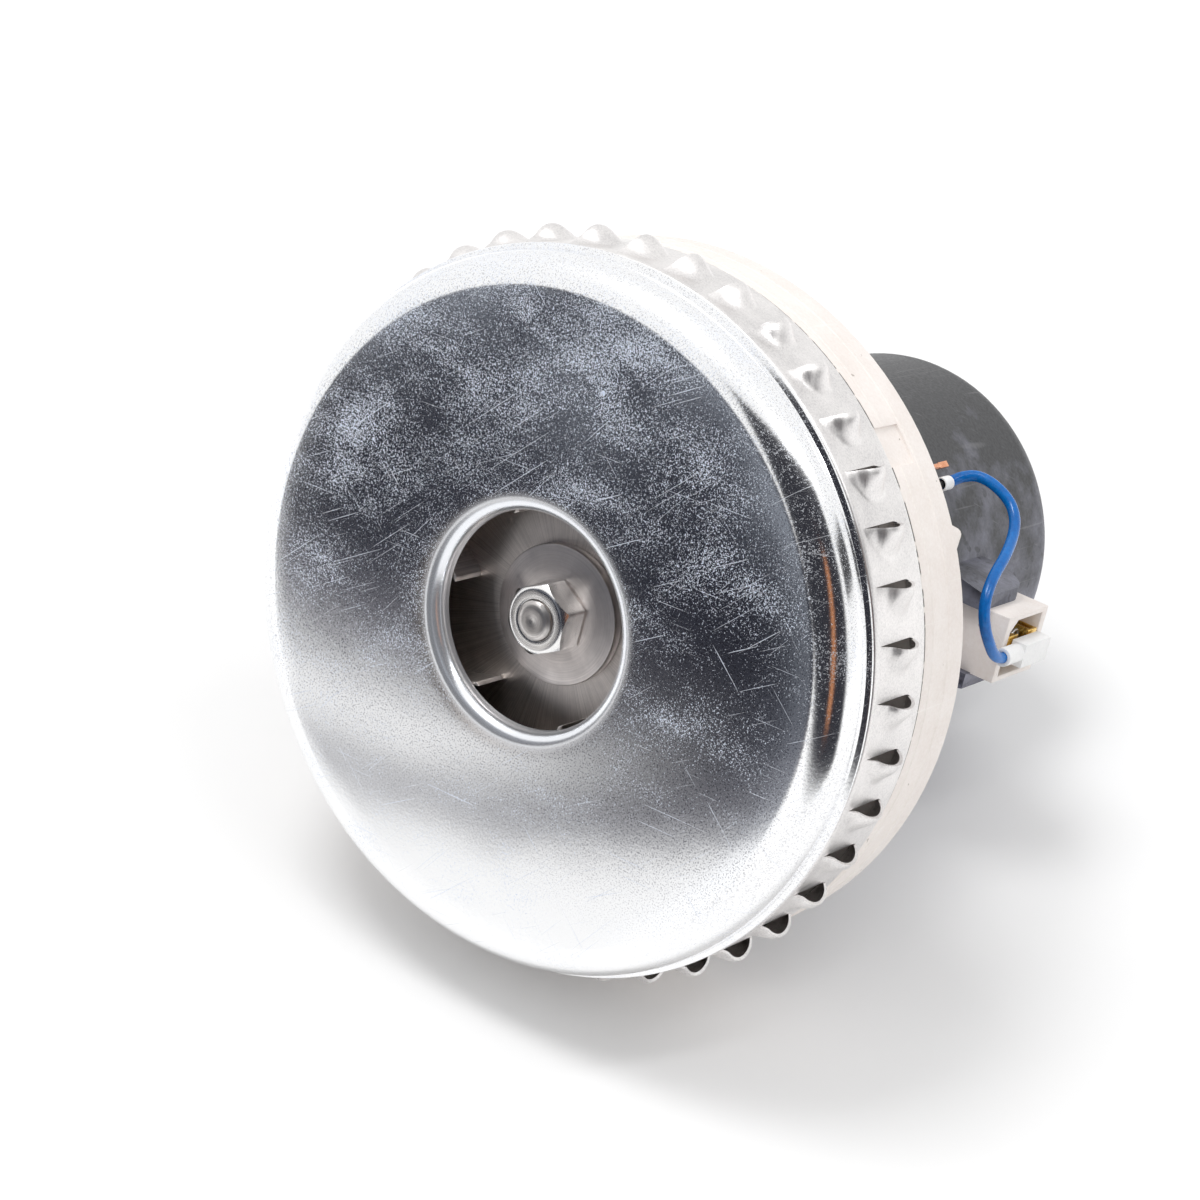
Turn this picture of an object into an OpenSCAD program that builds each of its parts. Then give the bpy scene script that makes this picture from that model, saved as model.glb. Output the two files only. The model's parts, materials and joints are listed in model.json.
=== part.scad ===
// Vacuum cleaner motor unit: a pressed steel fan case with a ring of louvres, a moulded
// bracket, a brush motor and a black cooling cover with a brush holder on each side.
// Sizes are in millimetres. The shaft lies along Y with the inlet towards -Y, and +Z is up.
// The origin is the centre of the inlet, in the plane of the pan's front face.

/* [Fan case] */
// Outside diameter of the louvred shell
case_d = 144; // [140:1:150]
// Sheet thickness of the pan and the shell
sheet_t = 0.8; // [0.6:0.1:1]
// Clear diameter of the inlet
inlet_d = 43.2; // [40:0.2:46]
// Outside bend radius of the inlet lip
lip_r = 3; // [2:0.5:4]
// Depth of the inlet lip behind the front face
lip_depth = 4; // [3.8:0.2:5]
// Distance from the front face to the seam
pan_depth = 8.2; // [8:0.2:12]
// Outside corner radius of the pan
pan_corner = 7; // [5:0.5:7.5]
// Width of the shell behind the seam
shell_w = 19.8; // [19.4:0.2:24]

/* [Louvres] */
// Number of louvres round the shell
louvre_count = 42; // [36:1:44]
// Height of a louvre above the shell
louvre_h = 3.4; // [2.8:0.2:4]
// Length of a louvre along the shaft
louvre_len = 12; // [11.2:0.2:12.4]

/* [Fan wheel] */
// Outside diameter of the fan wheel
wheel_d = 122; // [100:1:128]
// Thickness of the fan wheel's plates and blades
wheel_t = 1; // [0.8:0.1:1.2]
// Number of fan blades
blade_count = 6; // [5:1:9]
// Depth of a blade at the wheel's rim
rim_blade_w = 6; // [4:0.5:7.5]
// Diameter of the clamping washers
washer_d = 28; // [24:1:32]
// Thickness of the clamping washers
washer_t = 2.2; // [1.6:0.2:2.6]
// Width of the fan nut across its flats
nut_af = 13; // [12:0.5:14]
// Height of the fan nut
nut_h = 6.8; // [6:0.2:7]

/* [Shaft and bearings] */
// Diameter of the shaft
shaft_d = 8; // [7:0.5:9]
// Distance from the front face to the shaft's end
shaft_tip = 2.5; // [1:0.5:3]
// Outside diameter of a ball bearing
bearing_d = 22; // [20:1:24]
// Width of a ball bearing
bearing_w = 7; // [6:0.5:8]
// Diameter of a bearing ball
ball_d = 4; // [3:0.5:4]
// Number of balls in a bearing
ball_count = 7; // [5:1:8]

/* [Bracket] */
// Width of the bracket's rim behind the shell
rim_w = 15.2; // [13:0.2:18]
// Thickness of the bracket's rim
rim_t = 2.6; // [2:0.2:4]
// Thickness of the bracket's disc
disc_t = 3; // [2:0.5:3.5]
// Number of ribs on the bracket
rib_count = 12; // [8:1:18]

/* [Motor] */
// Outside diameter of the stator stack
stator_d = 73; // [68:0.5:78]
// Diameter of the armature as a share of the stator's
armature_share = 0.575; // [0.56:0.005:0.58]
// Gap between the armature and the stator
air_gap = 0.5; // [0.3:0.1:0.8]
// Diameter of the commutator
commutator_d = 22; // [20:0.5:24]
// Number of armature slots
slot_count = 12; // [10:1:14]

/* [Brush gear] */
// Width of a brush holder along the shaft
holder_w = 17.4; // [17:0.2:18]
// Height of a brush holder
holder_h = 14.8; // [14:0.2:15.4]
// Distance from the shaft to a brush holder's outer end
holder_reach = 55.5; // [52:0.5:60]
// Width of a carbon brush along the shaft
brush_w = 11; // [9:0.2:11.2]
// Thickness of a carbon brush
brush_t = 6.4; // [5:0.2:7]
// Length of a carbon brush
brush_len = 21; // [18:0.5:23]
// Coil diameter of a brush spring
spring_d = 5.6; // [5:0.1:6]
// Wire diameter of a brush spring
spring_wire = 0.6; // [0.5:0.05:0.7]
// Number of curls in a brush spring
spring_curls = 15; // [12:1:17]

/* [Cover] */
// Gap between the cover and the stator
cover_gap = 1.5; // [1:0.25:2.5]
// Wall thickness of the cover
cover_t = 2; // [1.6:0.1:2]
// Outside corner radius of the cover's rear edge
cover_corner = 9; // [6:0.5:10]
// Length of the whole unit along the shaft
overall_len = 145; // [135:1:159]
// Gap between the cooling fan and the cover
cooling_fan_gap = 5; // [3:0.5:8]
// Number of cooling fan blades
cooling_blades = 9; // [6:1:12]

/* [Lead] */
// Outside diameter of the blue lead
lead_d = 2.4; // [2:0.1:3]

/* [Hidden] */

$fn = 96;
fit_gap = 0.05; // between pieces that are pressed or slid together
loose_gap = 0.3; // between pieces that stay clear of each other
run_gap = 1; // round turning pieces
over = 1; // how far a cutting shape passes the face that it cuts

// Fan case
case_r = case_d / 2;
inlet_r = inlet_d / 2;
pan_step = 1.2; // how far the pan's edge flares past its wall
pan_r = case_r - pan_step;
seam_edge = sheet_t; // width of the flared edge
shell_front = pan_depth + seam_edge;
neck_r = pan_r - sheet_t - fit_gap;
neck_len = 1.6; // how far the shell reaches into the pan
shoulder_w = 1.6; // from the seam to the full diameter of the shell
shell_rear = pan_depth + shell_w;
louvre_pitch = 360 / louvre_count;
louvre_phase = 4.6; // turn of the first louvre from the top
louvre_front = shell_front + shoulder_w + 0.6;
hood_sink = 2.2; // depth of a louvre's centre below the shell's surface
hood_r = louvre_h + hood_sink;
hood_peak = louvre_front + louvre_len - sqrt(hood_r * hood_r - hood_sink * hood_sink);
hood_tip_r = hood_sink - 0.45; // inside radius at a louvre's pointed end
hood_lean = 20; // degrees that a louvre's open edge leans back from its slit

// Fan stack along the shaft
nut_front = shaft_tip + 1;
nut_turn = 2; // clockwise turn of the nut's corners from the horizontal
front_washer_y = nut_front + nut_h;
back_plate_y = front_washer_y + washer_t;
rear_washer_y = back_plate_y + wheel_t;
spacer_y = rear_washer_y + washer_t;
shaft_r = shaft_d / 2;
wheel_r = wheel_d / 2;
eye_r = inlet_r + 2;
eye_y = sheet_t + 2; // front end of the wheel's eye collar
blade_in_r = inlet_r - 0.6;
blade_sweep = 48; // degrees that a blade leans back between its ends
blade_steps = 8;
washer_r = washer_d / 2;

// Bracket
spigot_len = 3.8;
disc_y = shell_rear - spigot_len;
disc_rear = disc_y + disc_t;
rim_front = shell_rear + fit_gap;
rim_rear = shell_rear + rim_w;
rim_r = case_r - 0.4;
spigot_r = case_r - sheet_t - fit_gap;
ridge_h = 0.2; // height of the two fine ridges on the rim
ridge_w = 0.5;
ridge_y = [rim_front + 2.9, rim_front + 8.9];
rib_t = 2;
rib_h = 7;
bearing_r = bearing_d / 2;
hub_wall = 4;
hub_r = bearing_r + hub_wall;
spacer_wall = 2;
spacer_r = shaft_r + spacer_wall;
seat_floor = 3; // from the disc's rear face to the front bearing
front_bearing_y = disc_rear + seat_floor;
hub_rear = front_bearing_y + bearing_w;
hole_floor = 2; // from the disc's rear face to the end of a screw hole
screw_floor = 4; // from the disc's rear face to the end of a long screw
retainer_t = 1.2;
retainer_half = 4; // half the width of the bearing retainer's strap
retainer_screw_r = 1.5;
retainer_screw_x = bearing_r + retainer_screw_r + 0.5;
retainer_head_r = 2.8;
retainer_head_h = 1.6;
retainer_boss = 3.9; // radius of the bosses under the retainer's screws
ball_track = (shaft_r + bearing_r) / 2;
race_h = (bearing_r - shaft_r) / 2 - ball_d / 2 + 0.45;
groove_r = ball_d / 2 + fit_gap;
recess_angles = [42.3, 48.7]; // ends of the shallow recess in the rim
recess_depth = 0.5;
recess_y = [rim_front - over, rim_front + 8.4];
clip_angle = 29.8; // place of the small tab on the rim's rear edge
clip_outline = [[-over, -2.6], [0, -2.6], [2.9, -0.1], [3.2, 0.3], [3.1, 0.9], [2.4, 1.5], [0, 2.6],
    [-over, 2.6]];

// Stations of the motor along the shaft, counted forwards from the cover's rear end
cooling_fan_w = 12;
grille_clear = 5; // from the cooling fan to the grille
cooling_fan_y = overall_len - cover_t - grille_clear - cooling_fan_w;
hub_clear = 5.6; // from the rear bearing's hub to the cooling fan
rear_hub_rear = cooling_fan_y - hub_clear;
rear_bearing_y = rear_hub_rear - bearing_w;
bridge_t = 3;
bridge_y = rear_bearing_y - bridge_t;
holder_rear = bridge_y - fit_gap;
holder_y = holder_rear - holder_w;
holder_mid = holder_y + holder_w / 2;
plate_t = 2.8;
plate_y = holder_y - fit_gap - plate_t;
coil_end = 6.5; // how far the windings stand out of the stacks
coil_clear = 1.6; // from the windings to the rear bracket's plate
stack_clear = 12; // from the front bearing's hub to the stacks
stack_rear = plate_y - coil_end - coil_clear;
stack_y = hub_rear + stack_clear;
stack_len = stack_rear - stack_y;

// Motor stacks
stator_r = stator_d / 2;
armature_r = armature_share * stator_r;
bore_r = armature_r + air_gap;
shoe_r = bore_r + 3.5;
coil_gap = 0.3;
yoke_in_r = 0.822 * stator_r;
stator_flat = stator_r - 2.5; // half the width across the stator's flats
pole_half = 0.62 * armature_r; // half the width of a pole's neck
coil_half_angle = 68;
shoe_half_angle = 64;
post_angle = 30;
post_rad = 3.2;
post_r = yoke_in_r + post_rad; // distance of the long screws from the shaft
screw_r = 2;
screw_head_r = 3.4;
screw_head_h = 2.4;

// Brush gear
holder_in = 29; // distance from the shaft to a holder's inner end
commutator_r = commutator_d / 2;
riser_r = commutator_r + 1.5;
riser_y = plate_y + 0.8;
riser_w = 1.8;
bars_rear = holder_rear - 0.6;
bar_gap = 0.5;
bar_depth = 2;
tube_t = 0.6;
tube_w = brush_w + 2 * (fit_gap + tube_t) + 0.2;
tube_h = brush_t + 2 * (fit_gap + tube_t) + 0.2;
tube_in = commutator_r + 3;
tube_out = holder_reach - 6.5; // outer end of the tube's full section
fold_out = holder_reach - 0.1; // outer face of the folds that close the tube's end
pocket_w = 13.2; // opening in the holder's outer end, along the shaft
pocket_h = 12.4;
pocket_depth = 9.5;
brush_in = commutator_r + loose_gap;
brush_out = brush_in + brush_len;
fold_h = 5.4; // height of the folds
fold_in = spring_d / 2 - 0.6; // distance of a fold's edge from the brush's axis
fold_return = spring_d / 2 + 0.3; // distance of a fold's inner leg from the brush's axis
blade_h = 0.8; // thickness of the brass blade that enters the flag terminal
blade_w = 4.8;
blade_reach = 3; // how far the blade stands out of the folds
spring_in = brush_out + loose_gap;
spring_out = fold_out - tube_t - loose_gap;
spring_sides = 6;
rings_per_curl = 8;

// Cover
cover_in = stator_r + cover_gap;
cover_r = cover_in + cover_t;
cover_mid = cover_r - cover_t / 2;
cover_y = disc_rear + rib_h + 1;
lug_t = 3;
lug_r = cover_r + 5.5;
lug_rad = 4.5;
lug_angles = [90, 210, 330];
ear_out = holder_reach - 5.3; // distance from the shaft to the end of a cover ear
ear_root_z = holder_h / 2 + 4.8;
ear_tip_t = 3;
ear_corner = 5;
ear_rear = holder_rear - 1.6;
ear_lip_t = 2; // how far an ear reaches before the brush holder
ear_lip_z = holder_h / 2 - 0.3;
vent_count = 12;
vent_w = 3;
vent_y = stack_y + 0.15 * stack_len;
vent_len = 0.38 * stack_len;
grille_slots = 20;
grille_in = 11;
grille_out = cover_r - cover_corner - 3;
grille_w = 2.6;
cooling_fan_r = cover_in - cooling_fan_gap;
shaft_end = cooling_fan_y + cooling_fan_w - 1;
fan_hub_r = shaft_r + 4;

// Lead and the field connection beside it
lead_r = lead_d / 2;
lead_sides = 8;
lead_start_r = cover_r + 3.5;
lead_start_angle = 41.46;
lead_start = [lead_start_r * cos(lead_start_angle), plate_y + 2.7, lead_start_r * sin(lead_start_angle)];
terminal_block = [3.4, 11, 5.2]; // size of the flag terminal's block
terminal_x = holder_reach + 0.5;
terminal_z = -terminal_block[2] / 2 - 0.25; // underside of the block
lead_end = [terminal_x + 1.5, holder_y + fit_gap, 0];
lead_bend = [[0, 0, 0], [0, 2.1, 0], [0.3, 3.4, 0.4], [1.4, 5.1, 1.4], [3.6, 6.6, 2.2], [6.6, 7.2, 2],
    [10, 7.4, 0.8], [13, 7, -1], [15.6, 5, -3.2], [17.8, 1.2, -5.6], [20, -4.8, -8],
    [21.4, -10.2, -10.6], [22.6, -13.7, -13.4], [23.7, -15.2, -16.6], [24.5, -14.4, -20],
    [24.9, -11.6, -23.6], [24.9, -7.4, -27.2], [24.9, -3.6, -28.75], [24.9, 0.2, -28.8]];
bend_last = len(lead_bend) - 1;
end_shift = lead_end - lead_start - lead_bend[bend_last];
// The bend starts at the sleeve, and what is left to the terminal spreads over its middle
lead_route = [for (i = [0:bend_last])
    lead_start + lead_bend[i] + min(1, max(0, (i - 2) / (bend_last - 4))) * end_shift];
sleeve_wall = 0.25;
sleeve_y = [plate_y + 1.3, plate_y + 4.7];
field_wire_r = 0.8; // dark sleeved wire that runs into the lead's sleeve
field_wire_y = plate_y - 3.7;
wire_end_r = 0.6; // bare copper end beside it
wire_end_angle = 46.8;
wire_end_rear = plate_y + 4.9;
window_angle = 44.5;
window_w = 10; // width of the cover's window under the lead
window_y = [field_wire_y - 2, field_wire_y + 2];
neck_rad = lead_r + 0.75;
neck_y = [lead_end[1] - 3.2, lead_end[1] + 3];

// Places children with their own Z along the shaft, running rearwards from y
module on_shaft(y = 0) {
    translate([0, y, 0]) rotate([-90, 0, 0]) children();
}

// Turns children round the shaft, counted from +X towards +Z
module at_angle(angle) {
    rotate([0, -angle, 0]) children();
}

// A ring about the shaft between two radii and two stations
module ring(r_in, r_out, y_from, y_to) {
    on_shaft(y_from) difference() {
        cylinder(r = r_out, h = y_to - y_from);
        translate([0, 0, -over]) cylinder(r = r_in, h = y_to - y_from + 2 * over);
    }
}

// A plain bar along the shaft
module bar(r, y_from, y_to) {
    on_shaft(y_from) cylinder(r = r, h = y_to - y_from);
}

// A wedge between two angles, big enough to cut anything here
module sector(from, to, y_from, y_to) {
    reach = 2 * case_r;
    mid = (from + to) / 2;
    on_shaft(y_from) linear_extrude(y_to - y_from) polygon([[0, 0],
        reach * [cos(from), -sin(from)], reach * [cos(mid), -sin(mid)], reach * [cos(to), -sin(to)]]);
}

// Mirrored copy for the left side
module on_side(side) {
    if (side > 0) children();
    else mirror([1, 0, 0]) children();
}

// The pan: outline of its sheet, from the inlet lip out to the flared edge
module fan_pan() {
    lip_x = inlet_r + lip_r;
    corner_x = pan_r - pan_corner;
    color("silver") on_shaft() rotate_extrude() difference() {
        union() {
            difference() {
                translate([inlet_r, 0]) square([pan_r - inlet_r, pan_depth - pan_step]);
                translate([inlet_r - over, -over]) difference() {
                    square([lip_r + over, lip_r + over]);
                    translate([lip_r + over, lip_r + over]) circle(lip_r);
                }
                translate([corner_x, -over]) difference() {
                    square([pan_corner + over, pan_corner + over]);
                    translate([0, pan_corner + over]) circle(pan_corner);
                }
            }
            polygon([[pan_r - sheet_t, pan_depth - pan_step], [pan_r, pan_depth - pan_step],
                [case_r, pan_depth], [case_r, shell_front], [case_r - sheet_t, shell_front]]);
        }
        translate([inlet_r + sheet_t, sheet_t]) difference() {
            square([pan_r - inlet_r - 2 * sheet_t, pan_depth]);
            difference() {
                translate([-over, -over]) square([lip_r - sheet_t + over, lip_r - sheet_t + over]);
                translate([lip_r - sheet_t, lip_r - sheet_t]) circle(lip_r - sheet_t);
            }
            translate([corner_x - inlet_r - sheet_t, 0]) difference() {
                square(pan_corner - sheet_t + over);
                translate([0, pan_corner - sheet_t]) circle(pan_corner - sheet_t);
                translate([0, pan_corner - sheet_t]) square(pan_corner);
            }
        }
        translate([0, lip_depth]) square([inlet_r + sheet_t + fit_gap, pan_depth]);
    }
}

// A louvre's swelling, drawn at the top of the shell: a cone that ends in a ball
module louvre_form(tip_r, peak_r) {
    translate([0, 0, case_r - hood_sink]) {
        translate([0, louvre_front, 0]) rotate([-90, 0, 0])
            cylinder(h = hood_peak - louvre_front, r1 = tip_r, r2 = peak_r, $fn = 32);
        translate([0, hood_peak, 0]) sphere(peak_r, $fn = 32);
    }
}

// Keeps the half of a louvre that lies clockwise of its open edge, seen from the inlet
module louvre_half() {
    difference() {
        children();
        translate([0, 0, case_r]) rotate([0, hood_lean, 0]) translate([-4 * hood_r, 0, -3 * hood_r])
            cube([4 * hood_r, 2 * shell_rear, 6 * hood_r]);
    }
}

module each_louvre() {
    for (i = [0:louvre_count - 1]) at_angle(louvre_phase + i * louvre_pitch) children();
}

module louvre_shell() {
    color("silver") difference() {
        union() {
            on_shaft() rotate_extrude() polygon([[neck_r - sheet_t, pan_depth - neck_len],
                [neck_r, pan_depth - neck_len], [neck_r, shell_front], [case_r - 0.8, shell_front],
                [case_r - 0.2, shell_front + 0.5], [case_r, shell_front + shoulder_w], [case_r, shell_rear],
                [case_r - sheet_t, shell_rear], [case_r - sheet_t, shell_front + shoulder_w],
                [case_r - 2 * sheet_t, shell_front + sheet_t], [neck_r - sheet_t, shell_front + sheet_t]]);
            each_louvre() difference() {
                louvre_half() louvre_form(hood_sink, hood_r);
                translate([-4 * hood_r, 0, 0]) cube([8 * hood_r, 2 * shell_rear, case_r - sheet_t / 2]);
            }
        }
        each_louvre() louvre_half() louvre_form(hood_tip_r, hood_r - sheet_t);
    }
}

// The wheel's conical front plate with its eye collar
module wheel_front_plate() {
    rim_y = back_plate_y - rim_blade_w - wheel_t;
    color("gainsboro") on_shaft() rotate_extrude() polygon([[eye_r, eye_y], [eye_r + wheel_t, eye_y],
        [eye_r + wheel_t, eye_y + wheel_t / 2], [wheel_r, rim_y], [wheel_r, rim_y + wheel_t],
        [eye_r, eye_y + 1.5 * wheel_t]]);
}

// Angle of a blade's middle line at a distance from the shaft
function blade_angle(r) = -blade_sweep * pow((r - blade_in_r) / (wheel_r - blade_in_r), 0.8);

function blade_point(r, side) = let (a = blade_angle(r) + side * wheel_t / 2 / r * 180 / PI)
    [r * cos(a), -r * sin(a)];

module wheel_blades() {
    rim_y = back_plate_y - rim_blade_w;
    eye_front = lip_depth + 0.5;
    out_r = wheel_r - 0.5;
    stations = [for (i = [0:blade_steps]) blade_in_r + (out_r - blade_in_r) * i / blade_steps];
    last = len(stations) - 1;
    outline = concat([for (i = [0:last]) blade_point(stations[i], 1)],
        [for (i = [0:last]) blade_point(stations[last - i], -1)]);
    color("gainsboro") intersection() {
        for (i = [0:blade_count - 1]) at_angle(i * 360 / blade_count)
            on_shaft(eye_y) linear_extrude(back_plate_y - eye_y) polygon(outline);
        on_shaft() rotate_extrude() polygon([[blade_in_r - over, eye_front], [eye_r, eye_front],
            [eye_r, eye_y + 1.5 * wheel_t], [wheel_r, rim_y], [wheel_r, back_plate_y],
            [blade_in_r - over, back_plate_y]]);
    }
}

module wheel_back_plate() {
    color("gainsboro") ring(shaft_r + fit_gap, wheel_r, back_plate_y, rear_washer_y);
}

module front_washer() {
    color("darkgray") ring(shaft_r + fit_gap, washer_r, front_washer_y, back_plate_y);
}

module rear_washer() {
    color("darkgray") ring(shaft_r + fit_gap, washer_r, rear_washer_y, spacer_y);
}

// Six flats cut from a bar whose ends are turned to a cone
module fan_nut() {
    corner_r = nut_af / sqrt(3);
    chamfer = 1.2;
    color("lightsteelblue") difference() {
        intersection() {
            on_shaft(nut_front) rotate([0, 0, nut_turn]) cylinder(r = corner_r, h = nut_h, $fn = 6);
            on_shaft(nut_front) rotate_extrude() polygon([[0, 0], [nut_af / 2 - 0.6, 0],
                [corner_r + 0.1, chamfer], [corner_r + 0.1, nut_h], [0, nut_h]]);
        }
        bar(shaft_r + fit_gap, nut_front - over, nut_front + nut_h + over);
    }
}

module fan_spacer() {
    color("silver") ring(shaft_r + fit_gap, spacer_r, spacer_y, front_bearing_y);
}

module shaft() {
    chamfer = 0.6;
    color("silver") on_shaft() rotate_extrude() polygon([[0, shaft_tip], [shaft_r - chamfer, shaft_tip],
        [shaft_r, shaft_tip + chamfer], [shaft_r, shaft_end - chamfer], [shaft_r - chamfer, shaft_end],
        [0, shaft_end]]);
}

// Four places of the long screws
module at_posts() {
    for (a = [post_angle, 180 - post_angle, 180 + post_angle, 360 - post_angle])
        at_angle(a) translate([post_r, 0, 0]) children();
}

module at_lugs() {
    for (a = lug_angles) at_angle(a) translate([lug_r, 0, 0]) children();
}

module at_retainer_screws() {
    for (side = [-1, 1]) translate([side * retainer_screw_x, 0, 0]) children();
}

// The moulded bracket: spigot, disc, rim, ribs, bearing hub, posts and lug bosses
module fan_bracket() {
    post_end = stack_y;
    color("antiquewhite") difference() {
        union() {
            on_shaft() rotate_extrude() polygon(concat(
                [[spacer_r + run_gap, disc_y], [spigot_r, disc_y], [spigot_r, rim_front], [rim_r, rim_front]],
                [for (y = ridge_y) each [[rim_r, y], [rim_r + ridge_h, y + ridge_w / 2], [rim_r, y + ridge_w]]],
                [[rim_r, rim_rear - 0.5], [rim_r - 0.5, rim_rear], [rim_r - rim_t, rim_rear],
                [rim_r - rim_t, disc_rear], [spacer_r + run_gap, disc_rear]]));
            ring(spacer_r + run_gap, hub_r, disc_y, hub_rear);
            for (i = [0:rib_count - 1]) at_angle((i + 0.5) * 360 / rib_count)
                translate([hub_r - over, disc_rear - over, -rib_t / 2])
                    cube([rim_r - rim_t - hub_r + 2 * over, rib_h + over, rib_t]);
            at_posts() bar(post_rad, disc_y, post_end);
            at_lugs() bar(lug_rad, disc_y, cover_y);
            at_retainer_screws() bar(retainer_boss, disc_y, hub_rear);
            at_angle(clip_angle) translate([rim_r - rim_t, rim_rear, 0]) rotate([90, 0, 90])
                linear_extrude(rim_t - 0.6) polygon(clip_outline);
        }
        bar(bearing_r, front_bearing_y, hub_rear + over);
        at_posts() bar(screw_r + fit_gap, disc_rear + hole_floor, post_end + over);
        at_lugs() bar(screw_r + fit_gap, disc_rear + hole_floor, cover_y + over);
        at_retainer_screws() bar(retainer_screw_r + fit_gap, disc_rear, hub_rear + over);
        intersection() {
            ring(rim_r - recess_depth, rim_r + over, recess_y[0], recess_y[1]);
            sector(recess_angles[0], recess_angles[1], recess_y[0] - over, recess_y[1] + over);
        }
    }
}

// Ball bearing parts: two grooved rings and the balls between them
module race(r_in, r_out, y) {
    mid = y + bearing_w / 2;
    color("silver") difference() {
        ring(r_in, r_out, y, y + bearing_w);
        on_shaft(mid) rotate_extrude() translate([ball_track, 0]) circle(groove_r);
    }
}

module balls(y) {
    color("silver") for (i = [0:ball_count - 1]) at_angle(i * 360 / ball_count)
        translate([ball_track, y + bearing_w / 2, 0]) sphere(ball_d / 2);
}

module front_bearing_outer() {
    race(bearing_r - race_h, bearing_r - fit_gap / 2, front_bearing_y);
}

module front_bearing_inner() {
    race(shaft_r + fit_gap, shaft_r + race_h, front_bearing_y);
}

module front_bearing_balls() {
    balls(front_bearing_y);
}

module rear_bearing_outer() {
    race(bearing_r - race_h, bearing_r - fit_gap / 2, rear_bearing_y);
}

module rear_bearing_inner() {
    race(shaft_r + fit_gap, shaft_r + race_h, rear_bearing_y);
}

module rear_bearing_balls() {
    balls(rear_bearing_y);
}

// Steel strap that keeps the front bearing in its seat
module bearing_retainer() {
    color("lightgray") difference() {
        union() {
            bar(bearing_r + 1, hub_rear, hub_rear + retainer_t);
            translate([-retainer_screw_x, hub_rear, -retainer_half])
                cube([2 * retainer_screw_x, retainer_t, 2 * retainer_half]);
            at_retainer_screws() bar(retainer_half, hub_rear, hub_rear + retainer_t);
        }
        bar(bearing_r - race_h, hub_rear - over, hub_rear + retainer_t + over);
        at_retainer_screws() bar(retainer_screw_r + fit_gap, hub_rear - over, hub_rear + retainer_t + over);
    }
}

// A cross-recessed pan-head screw whose head sits on the plane y
module screw(r, head_r, head_h, y, len) {
    color("lightgray") difference() {
        union() {
            bar(r, y - len, y + head_h / 2);
            on_shaft(y) rotate_extrude() polygon([[0, 0], [head_r, 0], [head_r, head_h * 0.5],
                [head_r * 0.8, head_h * 0.85], [head_r * 0.45, head_h], [0, head_h]]);
        }
        for (turn = [0, 90]) translate([0, y + head_h * 0.45, 0]) rotate([0, turn, 0])
            translate([-head_r * 0.55, 0, -head_r * 0.12]) cube([head_r * 1.1, head_h, head_r * 0.24]);
    }
}

module retainer_screws() {
    at_retainer_screws()
        screw(retainer_screw_r, retainer_head_r, retainer_head_h, hub_rear + retainer_t, bearing_w);
}

module frame_screws() {
    y = plate_y + plate_t;
    at_posts() screw(screw_r, screw_head_r, screw_head_h, y, y - disc_rear - screw_floor);
}

module cover_screws() {
    y = cover_y + lug_t;
    at_lugs() screw(screw_r, screw_head_r, screw_head_h, y, y - disc_rear - screw_floor);
}

// Laminated stack with an upper and a lower pole
module stator_core() {
    color("dimgray") difference() {
        union() {
            intersection() {
                ring(yoke_in_r, stator_r, stack_y, stack_rear);
                translate([-stator_flat, 0, -stator_r]) cube([2 * stator_flat, 2 * stack_rear, 2 * stator_r]);
            }
            intersection() {
                ring(bore_r, yoke_in_r + over, stack_y, stack_rear);
                translate([-pole_half, 0, -stator_r]) cube([2 * pole_half, 2 * stack_rear, 2 * stator_r]);
            }
            for (mid = [90, 270]) intersection() {
                ring(bore_r, shoe_r, stack_y, stack_rear);
                sector(mid - shoe_half_angle, mid + shoe_half_angle, stack_y - over, stack_rear + over);
            }
        }
        at_posts() bar(screw_r + fit_gap, stack_y - over, stack_rear + over);
    }
}

// A coil round one pole's neck, with its end turns beyond the stack
module field_coil(mid) {
    color("chocolate") difference() {
        intersection() {
            ring(shoe_r + coil_gap, yoke_in_r - coil_gap, stack_y - coil_end, stack_rear + coil_end);
            sector(mid - coil_half_angle, mid + coil_half_angle, stack_y - coil_end - over,
                stack_rear + coil_end + over);
        }
        translate([-pole_half - coil_gap, stack_y - coil_gap, -stator_r])
            cube([2 * (pole_half + coil_gap), stack_len + 2 * coil_gap, 2 * stator_r]);
    }
}

module upper_field_coil() {
    field_coil(90);
}

module lower_field_coil() {
    field_coil(270);
}

// Armature stack with narrow slots
module armature_core() {
    slot_w = 2.2;
    slot_depth = 5;
    color("dimgray") difference() {
        ring(shaft_r + fit_gap, armature_r, stack_y, stack_rear);
        for (i = [0:slot_count - 1]) at_angle(i * 360 / slot_count)
            translate([armature_r - slot_depth, stack_y - over, -slot_w / 2])
                cube([slot_depth + over, stack_len + 2 * over, slot_w]);
    }
}

// End turns of the armature, a bevelled ring at each end of the stack
module end_turns(y_stack, direction) {
    inner = shaft_r + fit_gap;
    outer = armature_r - 2;
    bevel = 2;
    far = direction * (coil_end - loose_gap);
    on_shaft(y_stack) rotate_extrude() polygon([[inner, 0], [outer, 0], [outer, far - direction * bevel],
        [outer - bevel, far], [inner, far]]);
}

module armature_winding() {
    color("chocolate") {
        end_turns(stack_y, -1);
        end_turns(stack_rear, 1);
    }
}

module commutator_hub() {
    color("saddlebrown") ring(shaft_r + fit_gap, commutator_r - bar_depth, riser_y, bars_rear);
}

// Copper bars with a riser at the winding end, parted by fine slots
module commutator_bars() {
    inner = commutator_r - bar_depth;
    color("peru") difference() {
        union() {
            ring(inner, commutator_r, riser_y, bars_rear);
            ring(inner, riser_r, riser_y, riser_y + riser_w);
        }
        for (i = [0:2 * slot_count - 1]) at_angle(i * 180 / slot_count)
            translate([inner + bar_depth / 2, riser_y - over, -bar_gap / 2])
                cube([bar_depth + riser_r, bars_rear - riser_y + 2 * over, bar_gap]);
    }
}

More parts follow.
